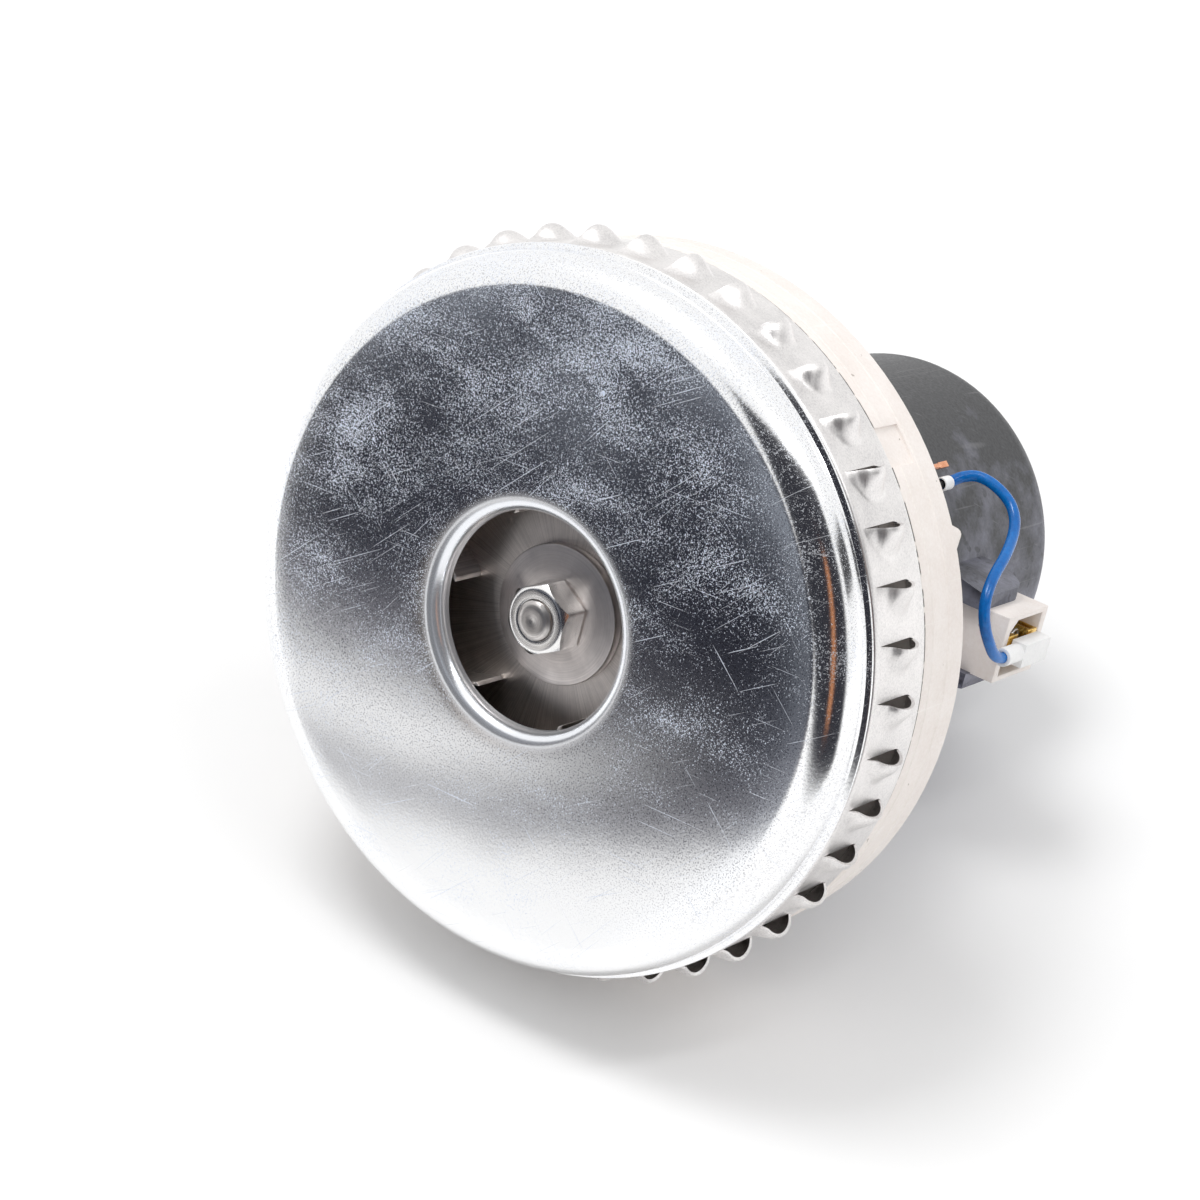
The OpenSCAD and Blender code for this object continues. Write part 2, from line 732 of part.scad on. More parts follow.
// The moulded bracket at the commutator end: a ring, two cheeks and the rear bearing's bridge
module brush_bracket() {
    plate_in = riser_r + 5;
    cheek_t = 3;
    cheek_r = cover_in - cheek_t - 5;
    cheek_half_angle = 36;
    color("antiquewhite") difference() {
        union() {
            ring(plate_in, cover_in - loose_gap, plate_y, plate_y + plate_t);
            at_posts() bar(post_rad, stack_rear, plate_y + over);
            for (mid = [90, 270]) intersection() {
                ring(cheek_r, cheek_r + cheek_t, plate_y, rear_bearing_y);
                sector(mid - cheek_half_angle, mid + cheek_half_angle, plate_y - over, rear_bearing_y + over);
            }
            ring(spacer_r + run_gap, cheek_r + cheek_t, bridge_y, rear_bearing_y);
            ring(spacer_r + run_gap, hub_r, bridge_y, rear_hub_rear);
        }
        bar(bearing_r, rear_bearing_y, rear_hub_rear + over);
        at_posts() bar(screw_r + fit_gap, stack_rear - over, plate_y + plate_t + over);
    }
}

// One brush holder on the +X side: a block with a channel for the brass tube and an open pocket
module brush_holder(side) {
    pocket_chamfer = 2.4;
    color("antiquewhite") on_side(side) difference() {
        translate([holder_in, holder_y, -holder_h / 2]) cube([holder_reach - holder_in, holder_w, holder_h]);
        translate([holder_in - over, holder_mid - tube_w / 2 - fit_gap, -tube_h / 2 - fit_gap])
            cube([holder_reach, tube_w + 2 * fit_gap, tube_h + 2 * fit_gap]);
        translate([holder_reach - pocket_depth, holder_mid, 0]) rotate([90, 0, 90])
            linear_extrude(pocket_depth + over) polygon([[-pocket_w / 2, -pocket_h / 2],
                [pocket_w / 2, -pocket_h / 2], [pocket_w / 2, pocket_h / 2],
                [-pocket_w / 2 + pocket_chamfer, pocket_h / 2], [-pocket_w / 2, pocket_h / 2 - pocket_chamfer]]);
    }
}

module brush_holder_right() {
    brush_holder(1);
}

module brush_holder_left() {
    brush_holder(-1);
}

// One side wall of the tube, carried outwards and folded in front of the spring
module tube_fold() {
    leg = fold_out - tube_out;
    translate([0, 0, -fold_h / 2]) linear_extrude(fold_h) {
        translate([tube_out - over, tube_w / 2 - tube_t]) square([leg + over, tube_t]);
        translate([fold_out - tube_t, fold_in]) square([tube_t, tube_w / 2 - fold_in]);
        translate([fold_out - leg * 0.7, fold_return]) square([leg * 0.7, tube_t]);
    }
}

// Brass tube that guides the brush, with two folds that hold the spring and a blade for the terminal
module brush_tube(side) {
    bore_w = tube_w - 2 * tube_t;
    bore_h = tube_h - 2 * tube_t;
    color("goldenrod") on_side(side) translate([0, holder_mid, 0]) {
        difference() {
            translate([tube_in, -tube_w / 2, -tube_h / 2]) cube([tube_out - tube_in, tube_w, tube_h]);
            translate([tube_in - over, -bore_w / 2, -bore_h / 2])
                cube([tube_out - tube_in + 2 * over, bore_w, bore_h]);
        }
        tube_fold();
        mirror([0, 1, 0]) tube_fold();
        translate([fold_out - tube_t, -fold_return, -blade_h / 2])
            cube([blade_reach + tube_t, blade_w, blade_h]);
    }
}

module brush_tube_right() {
    brush_tube(1);
}

module brush_tube_left() {
    brush_tube(-1);
}

// Carbon brush, its tip 0.3 mm off the commutator
module carbon_brush(side) {
    color("dimgray") on_side(side)
        translate([brush_in, holder_mid - brush_w / 2, -brush_t / 2]) cube([brush_len, brush_w, brush_t]);
}

module carbon_brush_right() {
    carbon_brush(1);
}

module carbon_brush_left() {
    carbon_brush(-1);
}

// Vectors for a tube swept along points: rings of points square to the path
function unit(v) = v / norm(v);

function path_dir(p, i) = let (last = len(p) - 1)
    i == 0 ? unit(p[1] - p[0]) : i == last ? unit(p[last] - p[last - 1]) : unit(p[i + 1] - p[i - 1]);

function carried(p, i, side) = let (d = path_dir(p, i), s = side - (side * d) * d) unit(s);

function ring_sides(p, first) = [for (i = 0, s = carried(p, 0, first); i < len(p);
    i = i + 1, s = i < len(p) ? carried(p, i, s) : s) s];

function tube_points(p, r, sides, first) = let (side_dirs = ring_sides(p, first))
    [for (i = [0:len(p) - 1]) let (d = path_dir(p, i), s = side_dirs[i], t = cross(d, s))
        for (k = [0:sides - 1]) p[i] + r * (cos(k * 360 / sides) * s + sin(k * 360 / sides) * t)];

function tube_faces(rings, sides) = concat(
    [for (k = [1:sides - 2]) [0, k + 1, k]],
    [for (i = [0:rings - 2]) for (k = [0:sides - 1]) let (a = i * sides + k,
        b = i * sides + (k + 1) % sides) each [[a, b, b + sides], [a, b + sides, a + sides]]],
    [for (k = [1:sides - 2]) let (base = (rings - 1) * sides) [base, base + k, base + k + 1]]);

// One closed tube along a list of points
module swept_tube(p, r, sides, first) {
    polyhedron(tube_points(p, r, sides, first), [for (f = tube_faces(len(p), sides)) [f[0], f[2], f[1]]]);
}

// The brush spring's middle line: a helix about the brush's axis
function spring_path() = let (n = spring_curls * rings_per_curl, r = (spring_d - spring_wire) / 2,
    from = spring_in + spring_wire / 2, to = spring_out - spring_wire / 2)
    [for (i = [0:n]) let (a = 360 * i / rings_per_curl)
        [from + (to - from) * i / n, holder_mid + r * cos(a), r * sin(a)]];

spring_gap = (spring_out - spring_in - spring_wire) / spring_curls - spring_wire;

// Least distance between points of the helix that are about a curl apart or more, less the wire
function least_gap(p) = min([for (i = [0:len(p) - 1]) for (j = [i + rings_per_curl / 2 + 2:1:len(p) - 1])
    norm(p[i] - p[j])]) - spring_wire;

module brush_spring(side) {
    color("lightgray") on_side(side) swept_tube(spring_path(), spring_wire / 2, spring_sides, [0, 1, 0]);
}

module brush_spring_right() {
    echo(spring_gap = spring_gap, least_gap = least_gap(spring_path()));
    brush_spring(1);
}

module brush_spring_left() {
    brush_spring(-1);
}

// White housing at the lead's far end: a neck for the lead and a block over the brass blade
module flag_terminal() {
    slot_w = blade_w + 2 * fit_gap;
    color("white") difference() {
        union() {
            translate([lead_end[0], 0, lead_end[2]]) bar(neck_rad, neck_y[0], neck_y[1] + over);
            translate([terminal_x, neck_y[1], terminal_z]) cube(terminal_block);
        }
        translate([lead_end[0], 0, lead_end[2]]) bar(lead_r + fit_gap, neck_y[0] - over, lead_end[1] + fit_gap);
        translate([terminal_x - over, holder_mid - fold_return - fit_gap, -blade_h / 2 - fit_gap])
            cube([fold_out + blade_reach + fit_gap - terminal_x + over, slot_w, blade_h + 2 * fit_gap]);
    }
}

module blue_lead() {
    color("royalblue") swept_tube(lead_route, lead_r, lead_sides, [1, 0, 0]);
}

// White sleeve over the lead's first end
module lead_sleeve() {
    color("white") translate([lead_start[0], 0, lead_start[2]])
        ring(lead_r + fit_gap, lead_r + fit_gap + sleeve_wall, sleeve_y[0], sleeve_y[1]);
}

// A wire that leaves the field coil, passes the cover's window and turns rearwards
module bent_wire(r, angle, reach, y_from, y_to) {
    foot = yoke_in_r - coil_gap;
    at_angle(angle) {
        translate([foot, y_from, 0]) rotate([0, 90, 0]) cylinder(r = r, h = reach - foot, $fn = 24);
        translate([reach, y_from, 0]) sphere(r, $fn = 24);
        translate([reach, 0, 0]) bar(r, y_from, y_to, $fn = 24);
    }
}

// Dark sleeved wire of the field, which ends against the blue lead inside the white sleeve
module field_wire() {
    color("black") bent_wire(field_wire_r, atan2(lead_start[2], lead_start[0]),
        norm([lead_start[0], lead_start[2]]), field_wire_y, lead_start[1]);
}

// Bare copper end of the field wire with its flattened tip
module field_wire_end() {
    reach = cover_r + 3;
    tip = [0.8, 3.6, 1.3];
    color("peru") {
        bent_wire(wire_end_r, wire_end_angle, reach, field_wire_y, wire_end_rear);
        at_angle(wire_end_angle) translate([reach - tip[0] / 2, wire_end_rear - over / 2, -tip[2] / 2]) cube(tip);
    }
}

// Pressed-on fan between the rear bearing and the cover's grille
module cooling_fan() {
    blade_t = 1.4;
    color("black") difference() {
        union() {
            bar(fan_hub_r, cooling_fan_y - 1, cooling_fan_y + cooling_fan_w);
            bar(cooling_fan_r, cooling_fan_y, cooling_fan_y + blade_t);
            for (i = [0:cooling_blades - 1]) at_angle(i * 360 / cooling_blades)
                translate([fan_hub_r - over, cooling_fan_y, -blade_t / 2])
                    cube([cooling_fan_r - fan_hub_r, cooling_fan_w, blade_t]);
        }
        bar(shaft_r + fit_gap, cooling_fan_y - 2, overall_len);
    }
}

// The two ears of the cover at the right brush holder, joined until the window parts them
module cover_ears() {
    ear_z = holder_h / 2 + fit_gap + ear_tip_t;
    root_x = cover_r - 8;
    lip_y = holder_y - fit_gap - ear_lip_t;
    difference() {
        intersection() {
            translate([0, ear_rear, 0]) rotate([90, 0, 0]) linear_extrude(ear_rear - lip_y)
                polygon([[root_x, -ear_root_z], [cover_r + 2, -ear_root_z], [ear_out, -ear_z],
                    [ear_out, ear_z], [cover_r + 2, ear_root_z], [root_x, ear_root_z]]);
            translate([0, 0, -ear_root_z - over]) linear_extrude(2 * (ear_root_z + over)) {
                translate([root_x - over, lip_y - over])
                    square([ear_out - ear_corner - root_x + over, ear_rear - lip_y + 2 * over]);
                translate([ear_out - ear_corner - over, lip_y - over])
                    square([ear_corner + over, ear_rear - ear_corner - lip_y + over]);
                translate([ear_out - ear_corner, ear_rear - ear_corner]) circle(ear_corner);
            }
        }
        translate([root_x - over, lip_y - over, -ear_lip_z])
            cube([ear_out - root_x + 2 * over, ear_lip_t + 2 * over, 2 * ear_lip_z]);
    }
}

// The black cover: a cup with a grille, side vents, ears at the brush holders and three lugs
module motor_cover() {
    window = holder_h / 2 + fit_gap;
    color([0.16, 0.16, 0.18]) difference() {
        union() {
            on_shaft() rotate_extrude() union() {
                translate([cover_in, cover_y]) square([cover_t, overall_len - cover_corner - cover_y]);
                translate([0, overall_len - cover_t]) square([cover_r - cover_corner, cover_t]);
                translate([cover_r - cover_corner, overall_len - cover_corner]) intersection() {
                    difference() {
                        circle(cover_corner);
                        circle(cover_corner - cover_t);
                    }
                    square(cover_corner);
                }
            }
            difference() {
                for (side = [-1, 1]) on_side(side) cover_ears();
                bar(cover_mid, holder_y - ear_lip_t - over, holder_rear + over);
            }
            difference() {
                at_lugs() {
                    bar(lug_rad, cover_y, cover_y + lug_t);
                    translate([cover_in - lug_r, cover_y, -lug_rad]) cube([lug_r - cover_in, lug_t, 2 * lug_rad]);
                }
                bar(cover_mid, cover_y - over, cover_y + lug_t + over);
            }
        }
        for (side = [-1, 1]) on_side(side) translate([cover_in - 6, holder_y - fit_gap, -window])
            cube([ear_out + over - cover_in + 6, holder_w + 2 * fit_gap, 2 * window]);
        at_lugs() bar(screw_r + fit_gap, cover_y - over, cover_y + lug_t + over);
        for (i = [0:vent_count - 1]) at_angle((i + 0.5) * 360 / vent_count)
            translate([cover_in - 2, vent_y, -vent_w / 2]) cube([cover_t + 4, vent_len, vent_w]);
        for (i = [0:grille_slots - 1]) at_angle(i * 360 / grille_slots)
            translate([grille_in, overall_len - cover_t - over, -grille_w / 2])
                cube([grille_out - grille_in, cover_t + 2 * over, grille_w]);
        at_angle(window_angle) translate([cover_in - 3, window_y[0], -window_w / 2])
            cube([cover_t + 5, window_y[1] - window_y[0], window_w]);
    }
}

fan_pan();
louvre_shell();
wheel_front_plate();
wheel_blades();
wheel_back_plate();
front_washer();
rear_washer();
fan_nut();
fan_spacer();
shaft();
fan_bracket();
front_bearing_outer();
front_bearing_inner();
front_bearing_balls();
bearing_retainer();
retainer_screws();
stator_core();
upper_field_coil();
lower_field_coil();
armature_core();
armature_winding();
commutator_hub();
commutator_bars();
brush_bracket();
rear_bearing_outer();
rear_bearing_inner();
rear_bearing_balls();
frame_screws();
brush_holder_right();
brush_holder_left();
brush_tube_right();
brush_tube_left();
carbon_brush_right();
carbon_brush_left();
brush_spring_right();
brush_spring_left();
flag_terminal();
blue_lead();
lead_sleeve();
field_wire();
field_wire_end();
cooling_fan();
motor_cover();
cover_screws();
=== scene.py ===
import json
import math

import bmesh
import bpy
from mathutils import Matrix, Vector

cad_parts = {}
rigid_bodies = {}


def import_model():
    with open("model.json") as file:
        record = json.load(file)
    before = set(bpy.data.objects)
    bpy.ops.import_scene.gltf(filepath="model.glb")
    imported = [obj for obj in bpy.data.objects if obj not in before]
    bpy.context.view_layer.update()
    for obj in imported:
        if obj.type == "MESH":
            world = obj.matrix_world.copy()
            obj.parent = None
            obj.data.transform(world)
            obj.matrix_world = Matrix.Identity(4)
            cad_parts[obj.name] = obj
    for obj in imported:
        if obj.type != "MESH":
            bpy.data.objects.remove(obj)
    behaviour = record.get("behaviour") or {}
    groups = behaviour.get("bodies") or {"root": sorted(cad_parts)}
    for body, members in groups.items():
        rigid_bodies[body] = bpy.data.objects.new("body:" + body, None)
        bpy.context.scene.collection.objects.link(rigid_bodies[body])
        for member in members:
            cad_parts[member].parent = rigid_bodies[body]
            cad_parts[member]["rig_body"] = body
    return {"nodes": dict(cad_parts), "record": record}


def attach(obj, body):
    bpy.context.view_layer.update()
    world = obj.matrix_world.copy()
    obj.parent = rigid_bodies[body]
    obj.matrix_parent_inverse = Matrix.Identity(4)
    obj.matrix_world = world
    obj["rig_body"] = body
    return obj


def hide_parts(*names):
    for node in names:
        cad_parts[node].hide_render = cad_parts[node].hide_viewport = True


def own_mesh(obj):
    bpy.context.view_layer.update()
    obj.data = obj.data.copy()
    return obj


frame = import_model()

MM = 0.001
scene = bpy.context.scene
nodes = frame["nodes"]
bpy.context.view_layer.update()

# Camera of the photograph: its axes and its place in the part's frame
RIGHT = Vector((0.78128, 0.58504, 0.21754))
DOWN = Vector((0.37102, -0.15501, -0.91559))
FORWARD = Vector((-0.50194, 0.79605, -0.33817))
camera_data = bpy.data.cameras.new("camera")
camera_data.lens = 85
camera_data.sensor_width = 36
camera = bpy.data.objects.new("camera", camera_data)
scene.collection.objects.link(camera)
placed = Matrix((RIGHT, -DOWN, -FORWARD)).transposed().to_4x4()
placed.translation = (0.28167, -0.42210, 0.19048)
camera.matrix_world = placed
scene.camera = camera
scene.view_settings.view_transform = "Standard"


# Materials
class Graph:
    """The nodes of one shader tree."""

    def __init__(self, tree):
        self.tree = tree

    def add(self, kind, inputs=None, **settings):
        node = self.tree.nodes.new(kind)
        for key, value in settings.items():
            setattr(node, key, value)
        for key, value in (inputs or {}).items():
            self.feed(node.inputs[key], value)
        return node

    def feed(self, socket, value):
        if isinstance(value, bpy.types.NodeSocket):
            self.tree.links.new(value, socket)
        else:
            socket.default_value = value

    def math(self, operation, a, b=0.0):
        return self.add("ShaderNodeMath", {0: a, 1: b}, operation=operation).outputs[0]

    def fold(self, operation, values):
        result = values[0]
        for value in values[1:]:
            result = self.math(operation, result, value)
        return result

    def plus(self, *values):
        return self.fold("ADD", values)

    def times(self, *values):
        return self.fold("MULTIPLY", values)

    def most(self, *values):
        return self.fold("MAXIMUM", values)

    def minus(self, a, b):
        return self.math("SUBTRACT", a, b)

    def weighted(self, a, b, share):
        """The sum of both values, b by its share and a by the rest."""
        return self.plus(self.times(a, 1 - share), self.times(b, share))

    def length(self, a, b):
        """The long side of a right triangle with the short sides a and b."""
        return self.math("SQRT", self.plus(self.times(a, a), self.times(b, b)))

    def remap(self, value, low, high, to_low=0.0, to_high=1.0, **settings):
        return self.add("ShaderNodeMapRange", {
            "Value": value, "From Min": low, "From Max": high, "To Min": to_low,
            "To Max": to_high}, **settings).outputs["Result"]

    def seen(self):
        """One for camera, glossy and transmission rays, nothing for the others."""
        rays = self.add("ShaderNodeLightPath").outputs
        return self.most(rays["Is Camera Ray"], rays["Is Glossy Ray"], rays["Is Transmission Ray"])


class Look(Graph):
    """A procedural material on a Principled shader, drawn in object coordinates (metres)."""

    def __init__(self, name, metal=0.0, rough=0.5, **fixed):
        self.material = bpy.data.materials.new(name)
        self.material.use_nodes = True
        super().__init__(self.material.node_tree)
        self.shader = self.tree.nodes["Principled BSDF"]
        self.shader.inputs["Metallic"].default_value = metal
        self.shader.inputs["Roughness"].default_value = rough
        for key, value in fixed.items():
            self.shader.inputs[key.replace("_", " ")].default_value = value
        self.place = self.add("ShaderNodeTexCoord").outputs["Object"]

    def axes(self):
        return self.add("ShaderNodeSeparateXYZ", {"Vector": self.place}).outputs

    def radius(self):
        """Distance from the shaft's axis."""
        x, _, z = self.axes()
        return self.length(x, z)

    def noise(self, scale, detail=3.0, rough=0.5, where=None):
        return self.add("ShaderNodeTexNoise", {
            "Vector": where or self.place, "Scale": scale, "Detail": detail,
            "Roughness": rough}).outputs["Fac"]

    def moved(self, scale=(1, 1, 1), turn=(0, 0, 0), shift=(0, 0, 0), where=None):
        return self.add("ShaderNodeMapping", {
            "Vector": where or self.place, "Scale": scale, "Rotation": turn,
            "Location": shift}).outputs["Vector"]

    def mix(self, share, a, b, how="MIX"):
        node = self.add("ShaderNodeMix", data_type="RGBA", blend_type=how)
        for socket, value in ((node.inputs[0], share), (node.inputs[6], a), (node.inputs[7], b)):
            if isinstance(value, tuple) and len(value) == 3:
                value = (*value, 1)
            self.feed(socket, value)
        return node.outputs[2]

    def ramp(self, value, stops):
        node = self.add("ShaderNodeValToRGB", {"Fac": value})
        points = node.color_ramp.elements
        while len(points) < len(stops):
            points.new(0.5)
        for point, (at, color) in zip(points, stops):
            point.position = at
            point.color = (*color, 1)
        return node.outputs["Color"]

    def bump(self, height, distance, strength, after=None):
        """A bump whose distance is in millimetres, on top of the normal after."""
        inputs = {"Height": height, "Distance": distance * MM, "Strength": strength}
        if after is not None:
            inputs["Normal"] = after
        return self.add("ShaderNodeBump", inputs).outputs["Normal"]

    def polar(self, turn_scale, radius_scale, y_scale=0.0):
        """Coordinates that run round the shaft, outwards from it and along it."""
        x, y, z = self.axes()
        return self.add("ShaderNodeCombineXYZ", {
            "X": self.times(self.math("ARCTAN2", z, x), turn_scale),
            "Y": self.times(self.length(x, z), radius_scale),
            "Z": self.times(y, y_scale)}).outputs["Vector"]

    def waves(self, value, pitch):
        """A wave along the value, with its pitch in millimetres."""
        return self.math("SINE", self.times(value, 2 * math.pi / (pitch * MM)))

    def scratch(self, turn, across, along, cut, shift, axis="Y"):
        """Thin straight lines: noise drawn out along one direction and cut to its peaks."""
        angle, even = math.radians(turn), 30
        turns = {"Y": (0, angle, 0), "X": (angle, 0, 0)}[axis]
        scale = {"Y": (along, even, across), "X": (even, along, across)}[axis]
        where = self.moved(scale, shift=(shift, 0.3 * shift, 0), where=self.moved(turn=turns))
        return self.remap(self.noise(1.0, 1.0, 0.4, where), cut, cut + 0.05)

    def scratches(self, rows):
        return self.most(*[self.scratch(*row) for row in rows])

    def use(self, color, rough, normal):
        for key, value in (("Base Color", color), ("Roughness", rough), ("Normal", normal)):
            self.feed(self.shader.inputs[key], value)
        return self.material


# Scratches: turn in degrees, scale across and along them, cut, shift, axis that they turn about
PAN_SCRATCHES = [
    (46, 3600, 32, 0.73, 3.1), (55, 4200, 45, 0.735, 9.7), (33, 3800, 45, 0.74, 17.3),
    (3, 3900, 45, 0.745, 23.9), (-40, 4200, 60, 0.77, 31.7)]
RUBBED = [(-35, 2400, 120, 0.72, 2.2, "Y"), (20, 2400, 140, 0.73, 7.2, "X"),
          (70, 2200, 150, 0.73, 12.2, "X")]


def pan_steel():
    """Tin-plated sheet that mirrors the room, under pale flecks and scratches."""
    lip_edge, lip_rubbed, rim_edge = (0.0242, 0.0256), (0.0256, 0.0244), (0.0632, 0.0665)
    plated, wear_and_reflection, pitted = (0.955, 0.958, 0.965), (0.72, 0.79, 0.93), (0.42, 0.42, 0.45)
    look = Look("pan_steel", metal=1.0)
    x, _, z = look.axes()
    radius = look.radius()
    on_face = look.times(look.remap(radius, *lip_edge), look.remap(radius, *rim_edge, 1.0, 0.45))
    fine = look.noise(4600, 1.0, 0.6)
    coarse = look.noise(1900, 2.0, 0.6)
    cloud = look.noise(44, 4.0, 0.62, look.moved((1.0, 1.0, 1.7), (0, math.radians(-24), 0)))
    # The flecks come in clouds and thin out low on the face and towards its right
    level = look.plus(look.weighted(fine, coarse, 0.40), look.times(look.minus(cloud, 0.5), 0.40),
                      look.remap(z, -0.045, 0.050, -0.048, 0.020),
                      look.remap(x, 0.010, 0.045, 0.0, -0.026))
    flecks = look.times(look.remap(level, 0.560, 0.592), 0.90)
    lines = look.times(look.scratches(PAN_SCRATCHES), 0.85)
    chips = look.remap(look.noise(260, 1.0), 0.785, 0.80)
    marks = look.most(look.times(look.most(flecks, lines, chips), on_face),
                      look.remap(radius, *lip_rubbed, 0.0, 0.22))
    pits = look.times(look.remap(look.noise(3300, 1.0), 0.43, 0.37),
                      look.remap(z, -0.054, -0.026), on_face)
    color = look.mix(pits, look.mix(marks, plated, wear_and_reflection), pitted)
    normal = look.bump(look.noise(1500, 2.0), 0.03, 0.35)
    normal = look.bump(look.noise(34, 2.0), 0.3, 0.5, normal)
    look.feed(look.shader.inputs["Metallic"], look.remap(marks, 0.0, 1.0, 1.0, 0.12))
    return look.use(color, look.remap(marks, 0.0, 1.0, 0.14, 0.5), normal)


def shell_steel():
    """Zinc-plated sheet with grain and faint lines round the shaft."""
    look = Look("shell_steel", metal=1.0)
    grain = look.noise(2600, 3.0, 0.7)
    cloud = look.noise(130, 4.0, 0.6)
    base = look.ramp(look.weighted(grain, cloud, 0.4), [
        (0.32, (0.60, 0.585, 0.585)), (0.5, (0.80, 0.78, 0.77)), (0.68, (0.93, 0.905, 0.895))])
    lines = look.noise(1.0, 2.0, 0.5, look.polar(14, 200, 4200))
    color = look.mix(look.remap(lines, 0.6, 0.8, 0.0, 0.3), base, (0.98, 0.96, 0.95))
    normal = look.bump(grain, 0.03, 0.4)
    normal = look.bump(lines, 0.02, 0.35, normal)
    return look.use(color, look.remap(cloud, 0.3, 0.7, 0.30, 0.42), normal)


def turned_metal(name, color, rough, pitch=5200, depth=0.02, spread=0.16):
    """Metal with fine rings about the shaft."""
    look = Look(name, metal=1.0)
    rings = look.noise(1.0, 3.0, 0.6, look.polar(0.8, pitch, pitch * 0.4))
    blotch = look.noise(320, 3.0, 0.6)
    dark = tuple(c * (1 - 2 * spread) for c in color)
    light = tuple(min(1.0, c * (1 + spread)) for c in color)
    base = look.mix(look.remap(look.weighted(rings, blotch, 0.4), 0.35, 0.65), dark, light)
    return look.use(base, look.remap(rings, 0.3, 0.7, rough + 0.06, rough - 0.05),
                    look.bump(rings, depth, 0.6))


def brushed_plate(name, color, rough):
    """Sheet metal brushed outwards from the shaft."""
    look = Look(name, metal=1.0)
    lines = look.noise(1.0, 3.0, 0.6, look.polar(230, 25))
    blotch = look.noise(160, 4.0, 0.6)
    dark = tuple(c * 0.62 for c in color)
    base = look.mix(look.remap(look.weighted(lines, blotch, 0.35), 0.36, 0.62), dark, color)
    return look.use(base, look.remap(lines, 0.3, 0.7, rough + 0.08, rough - 0.05),
                    look.bump(lines, 0.02, 0.5))


def grain_and_color(look, dark, light, grain=1500):
    """Fine grain, and a colour of that grain over slow blotches."""
    fine = look.noise(grain, 3.0, 0.65)
    cloud = look.noise(110, 4.0, 0.6)
    return fine, look.mix(look.remap(look.weighted(fine, cloud, 0.55), 0.36, 0.64), dark, light)


def grained(name, dark, light, rough, grain=1500, depth=0.03, metal=0.0, marks=0.0,
            mark_color=None, **fixed):
    """A moulded or cast surface: slow blotches, fine grain and a few rubbed marks."""
    look = Look(name, metal=metal, **fixed)
    fine, color = grain_and_color(look, dark, light, grain)
    if marks:
        spots = look.remap(look.noise(700, 2.0), 0.70, 0.74)
        share = look.times(look.most(look.scratches(RUBBED), spots), marks)
        color = look.mix(share, color, mark_color)
    return look.use(color, look.remap(fine, 0.3, 0.7, rough + 0.07, rough - 0.07),
                    look.bump(fine, depth, 0.5))


def laminated():
    """The edges of stacked sheets."""
    sheet_pitch = 0.65
    look = Look("laminations", metal=0.7)
    blotch = look.noise(240, 4.0, 0.6)
    base = look.mix(look.remap(blotch, 0.35, 0.65), (0.10, 0.10, 0.11), (0.28, 0.27, 0.27))
    return look.use(base, look.remap(blotch, 0.3, 0.7, 0.6, 0.42),
                    look.bump(look.waves(look.axes()[1], sheet_pitch), 0.08, 0.8))


def wound_copper():
    """Enamelled wires side by side."""
    wire_pitch = 0.5
    look = Look("winding", metal=0.55)
    wires = look.waves(look.plus(look.radius(), look.axes()[1]), wire_pitch)
    blotch = look.noise(300, 3.0, 0.6)
    base = look.mix(look.remap(blotch, 0.35, 0.65), (0.30, 0.11, 0.05), (0.62, 0.30, 0.14))
    return look.use(base, look.remap(blotch, 0.3, 0.7, 0.42, 0.26), look.bump(wires, 0.12, 0.9))


def cream_moulding():
    """Cream moulding with a painted shade line along the seam where the shell ends."""
    seam_y, seam_r = (0.02840, 0.02822), (0.0708, 0.0712)
    look = Look("cream", rough=0.52)
    fine, color = grain_and_color(look, (0.82, 0.75, 0.705), (0.90, 0.845, 0.81))
    # Painted shade: a dark, broken line in the gap where the shell's rear edge meets the ring
    seam = look.times(look.remap(look.axes()[1], *seam_y),
                      look.remap(look.noise(420, 2.0), 0.38, 0.46),
                      look.remap(look.radius(), *seam_r))
    color = look.mix(seam, color, (0.07, 0.065, 0.06))
    spots = look.times(look.remap(look.noise(520, 2.0), 0.735, 0.75), 0.6)
    color = look.mix(spots, color, (0.30, 0.25, 0.21))
    lines = look.times(look.scratches(RUBBED[:1]), 0.35)
    color = look.mix(lines, color, (0.95, 0.92, 0.88))
    return look.use(color, look.remap(fine, 0.3, 0.7, 0.59, 0.45), look.bump(fine, 0.03, 0.5))


def scuffed_black_with_painted_sheen():
    """Black moulding with scuffs; a painted reflection turns its lower half blue-grey and a painted
    highlight makes its top pale.
    """
    # Heights of the painted reflection on the lower half and of the painted highlight along the top
    reflection_z, highlight_z = (0.040, -0.020), (0.044, 0.056)
    look = Look("black", rough=0.45)
    fine = look.noise(1500, 3.0, 0.65)
    cloud = look.noise(90, 4.0, 0.6)
    z = look.axes()[2]
    # Painted reflection of the pale floor: blue-grey over the lower half, broken up in clouds
    wear_and_reflection = look.plus(look.remap(z, *reflection_z), look.times(look.minus(cloud, 0.5), 1.6))
    plain_black = look.mix(fine, (0.016, 0.016, 0.018), (0.036, 0.037, 0.041))
    grey = look.mix(fine, (0.16, 0.162, 0.205), (0.26, 0.264, 0.325))
    color = look.mix(look.remap(wear_and_reflection, 0.2, 0.9), plain_black, grey)
    # Painted highlight: paler along the top of the cover
    color = look.mix(look.remap(z, *highlight_z, 0.0, 0.8), color, (0.26, 0.26, 0.27))
    dark = look.remap(look.noise(240, 3.0, 0.6), 0.60, 0.66, 0.0, 0.6)
    color = look.mix(dark, color, (0.014, 0.014, 0.016))
    color = look.mix(look.times(look.scratches(RUBBED[:2]), 0.2), color, (0.30, 0.30, 0.31))
    return look.use(color, look.remap(fine, 0.3, 0.7, 0.52, 0.38), look.bump(fine, 0.05, 0.5))


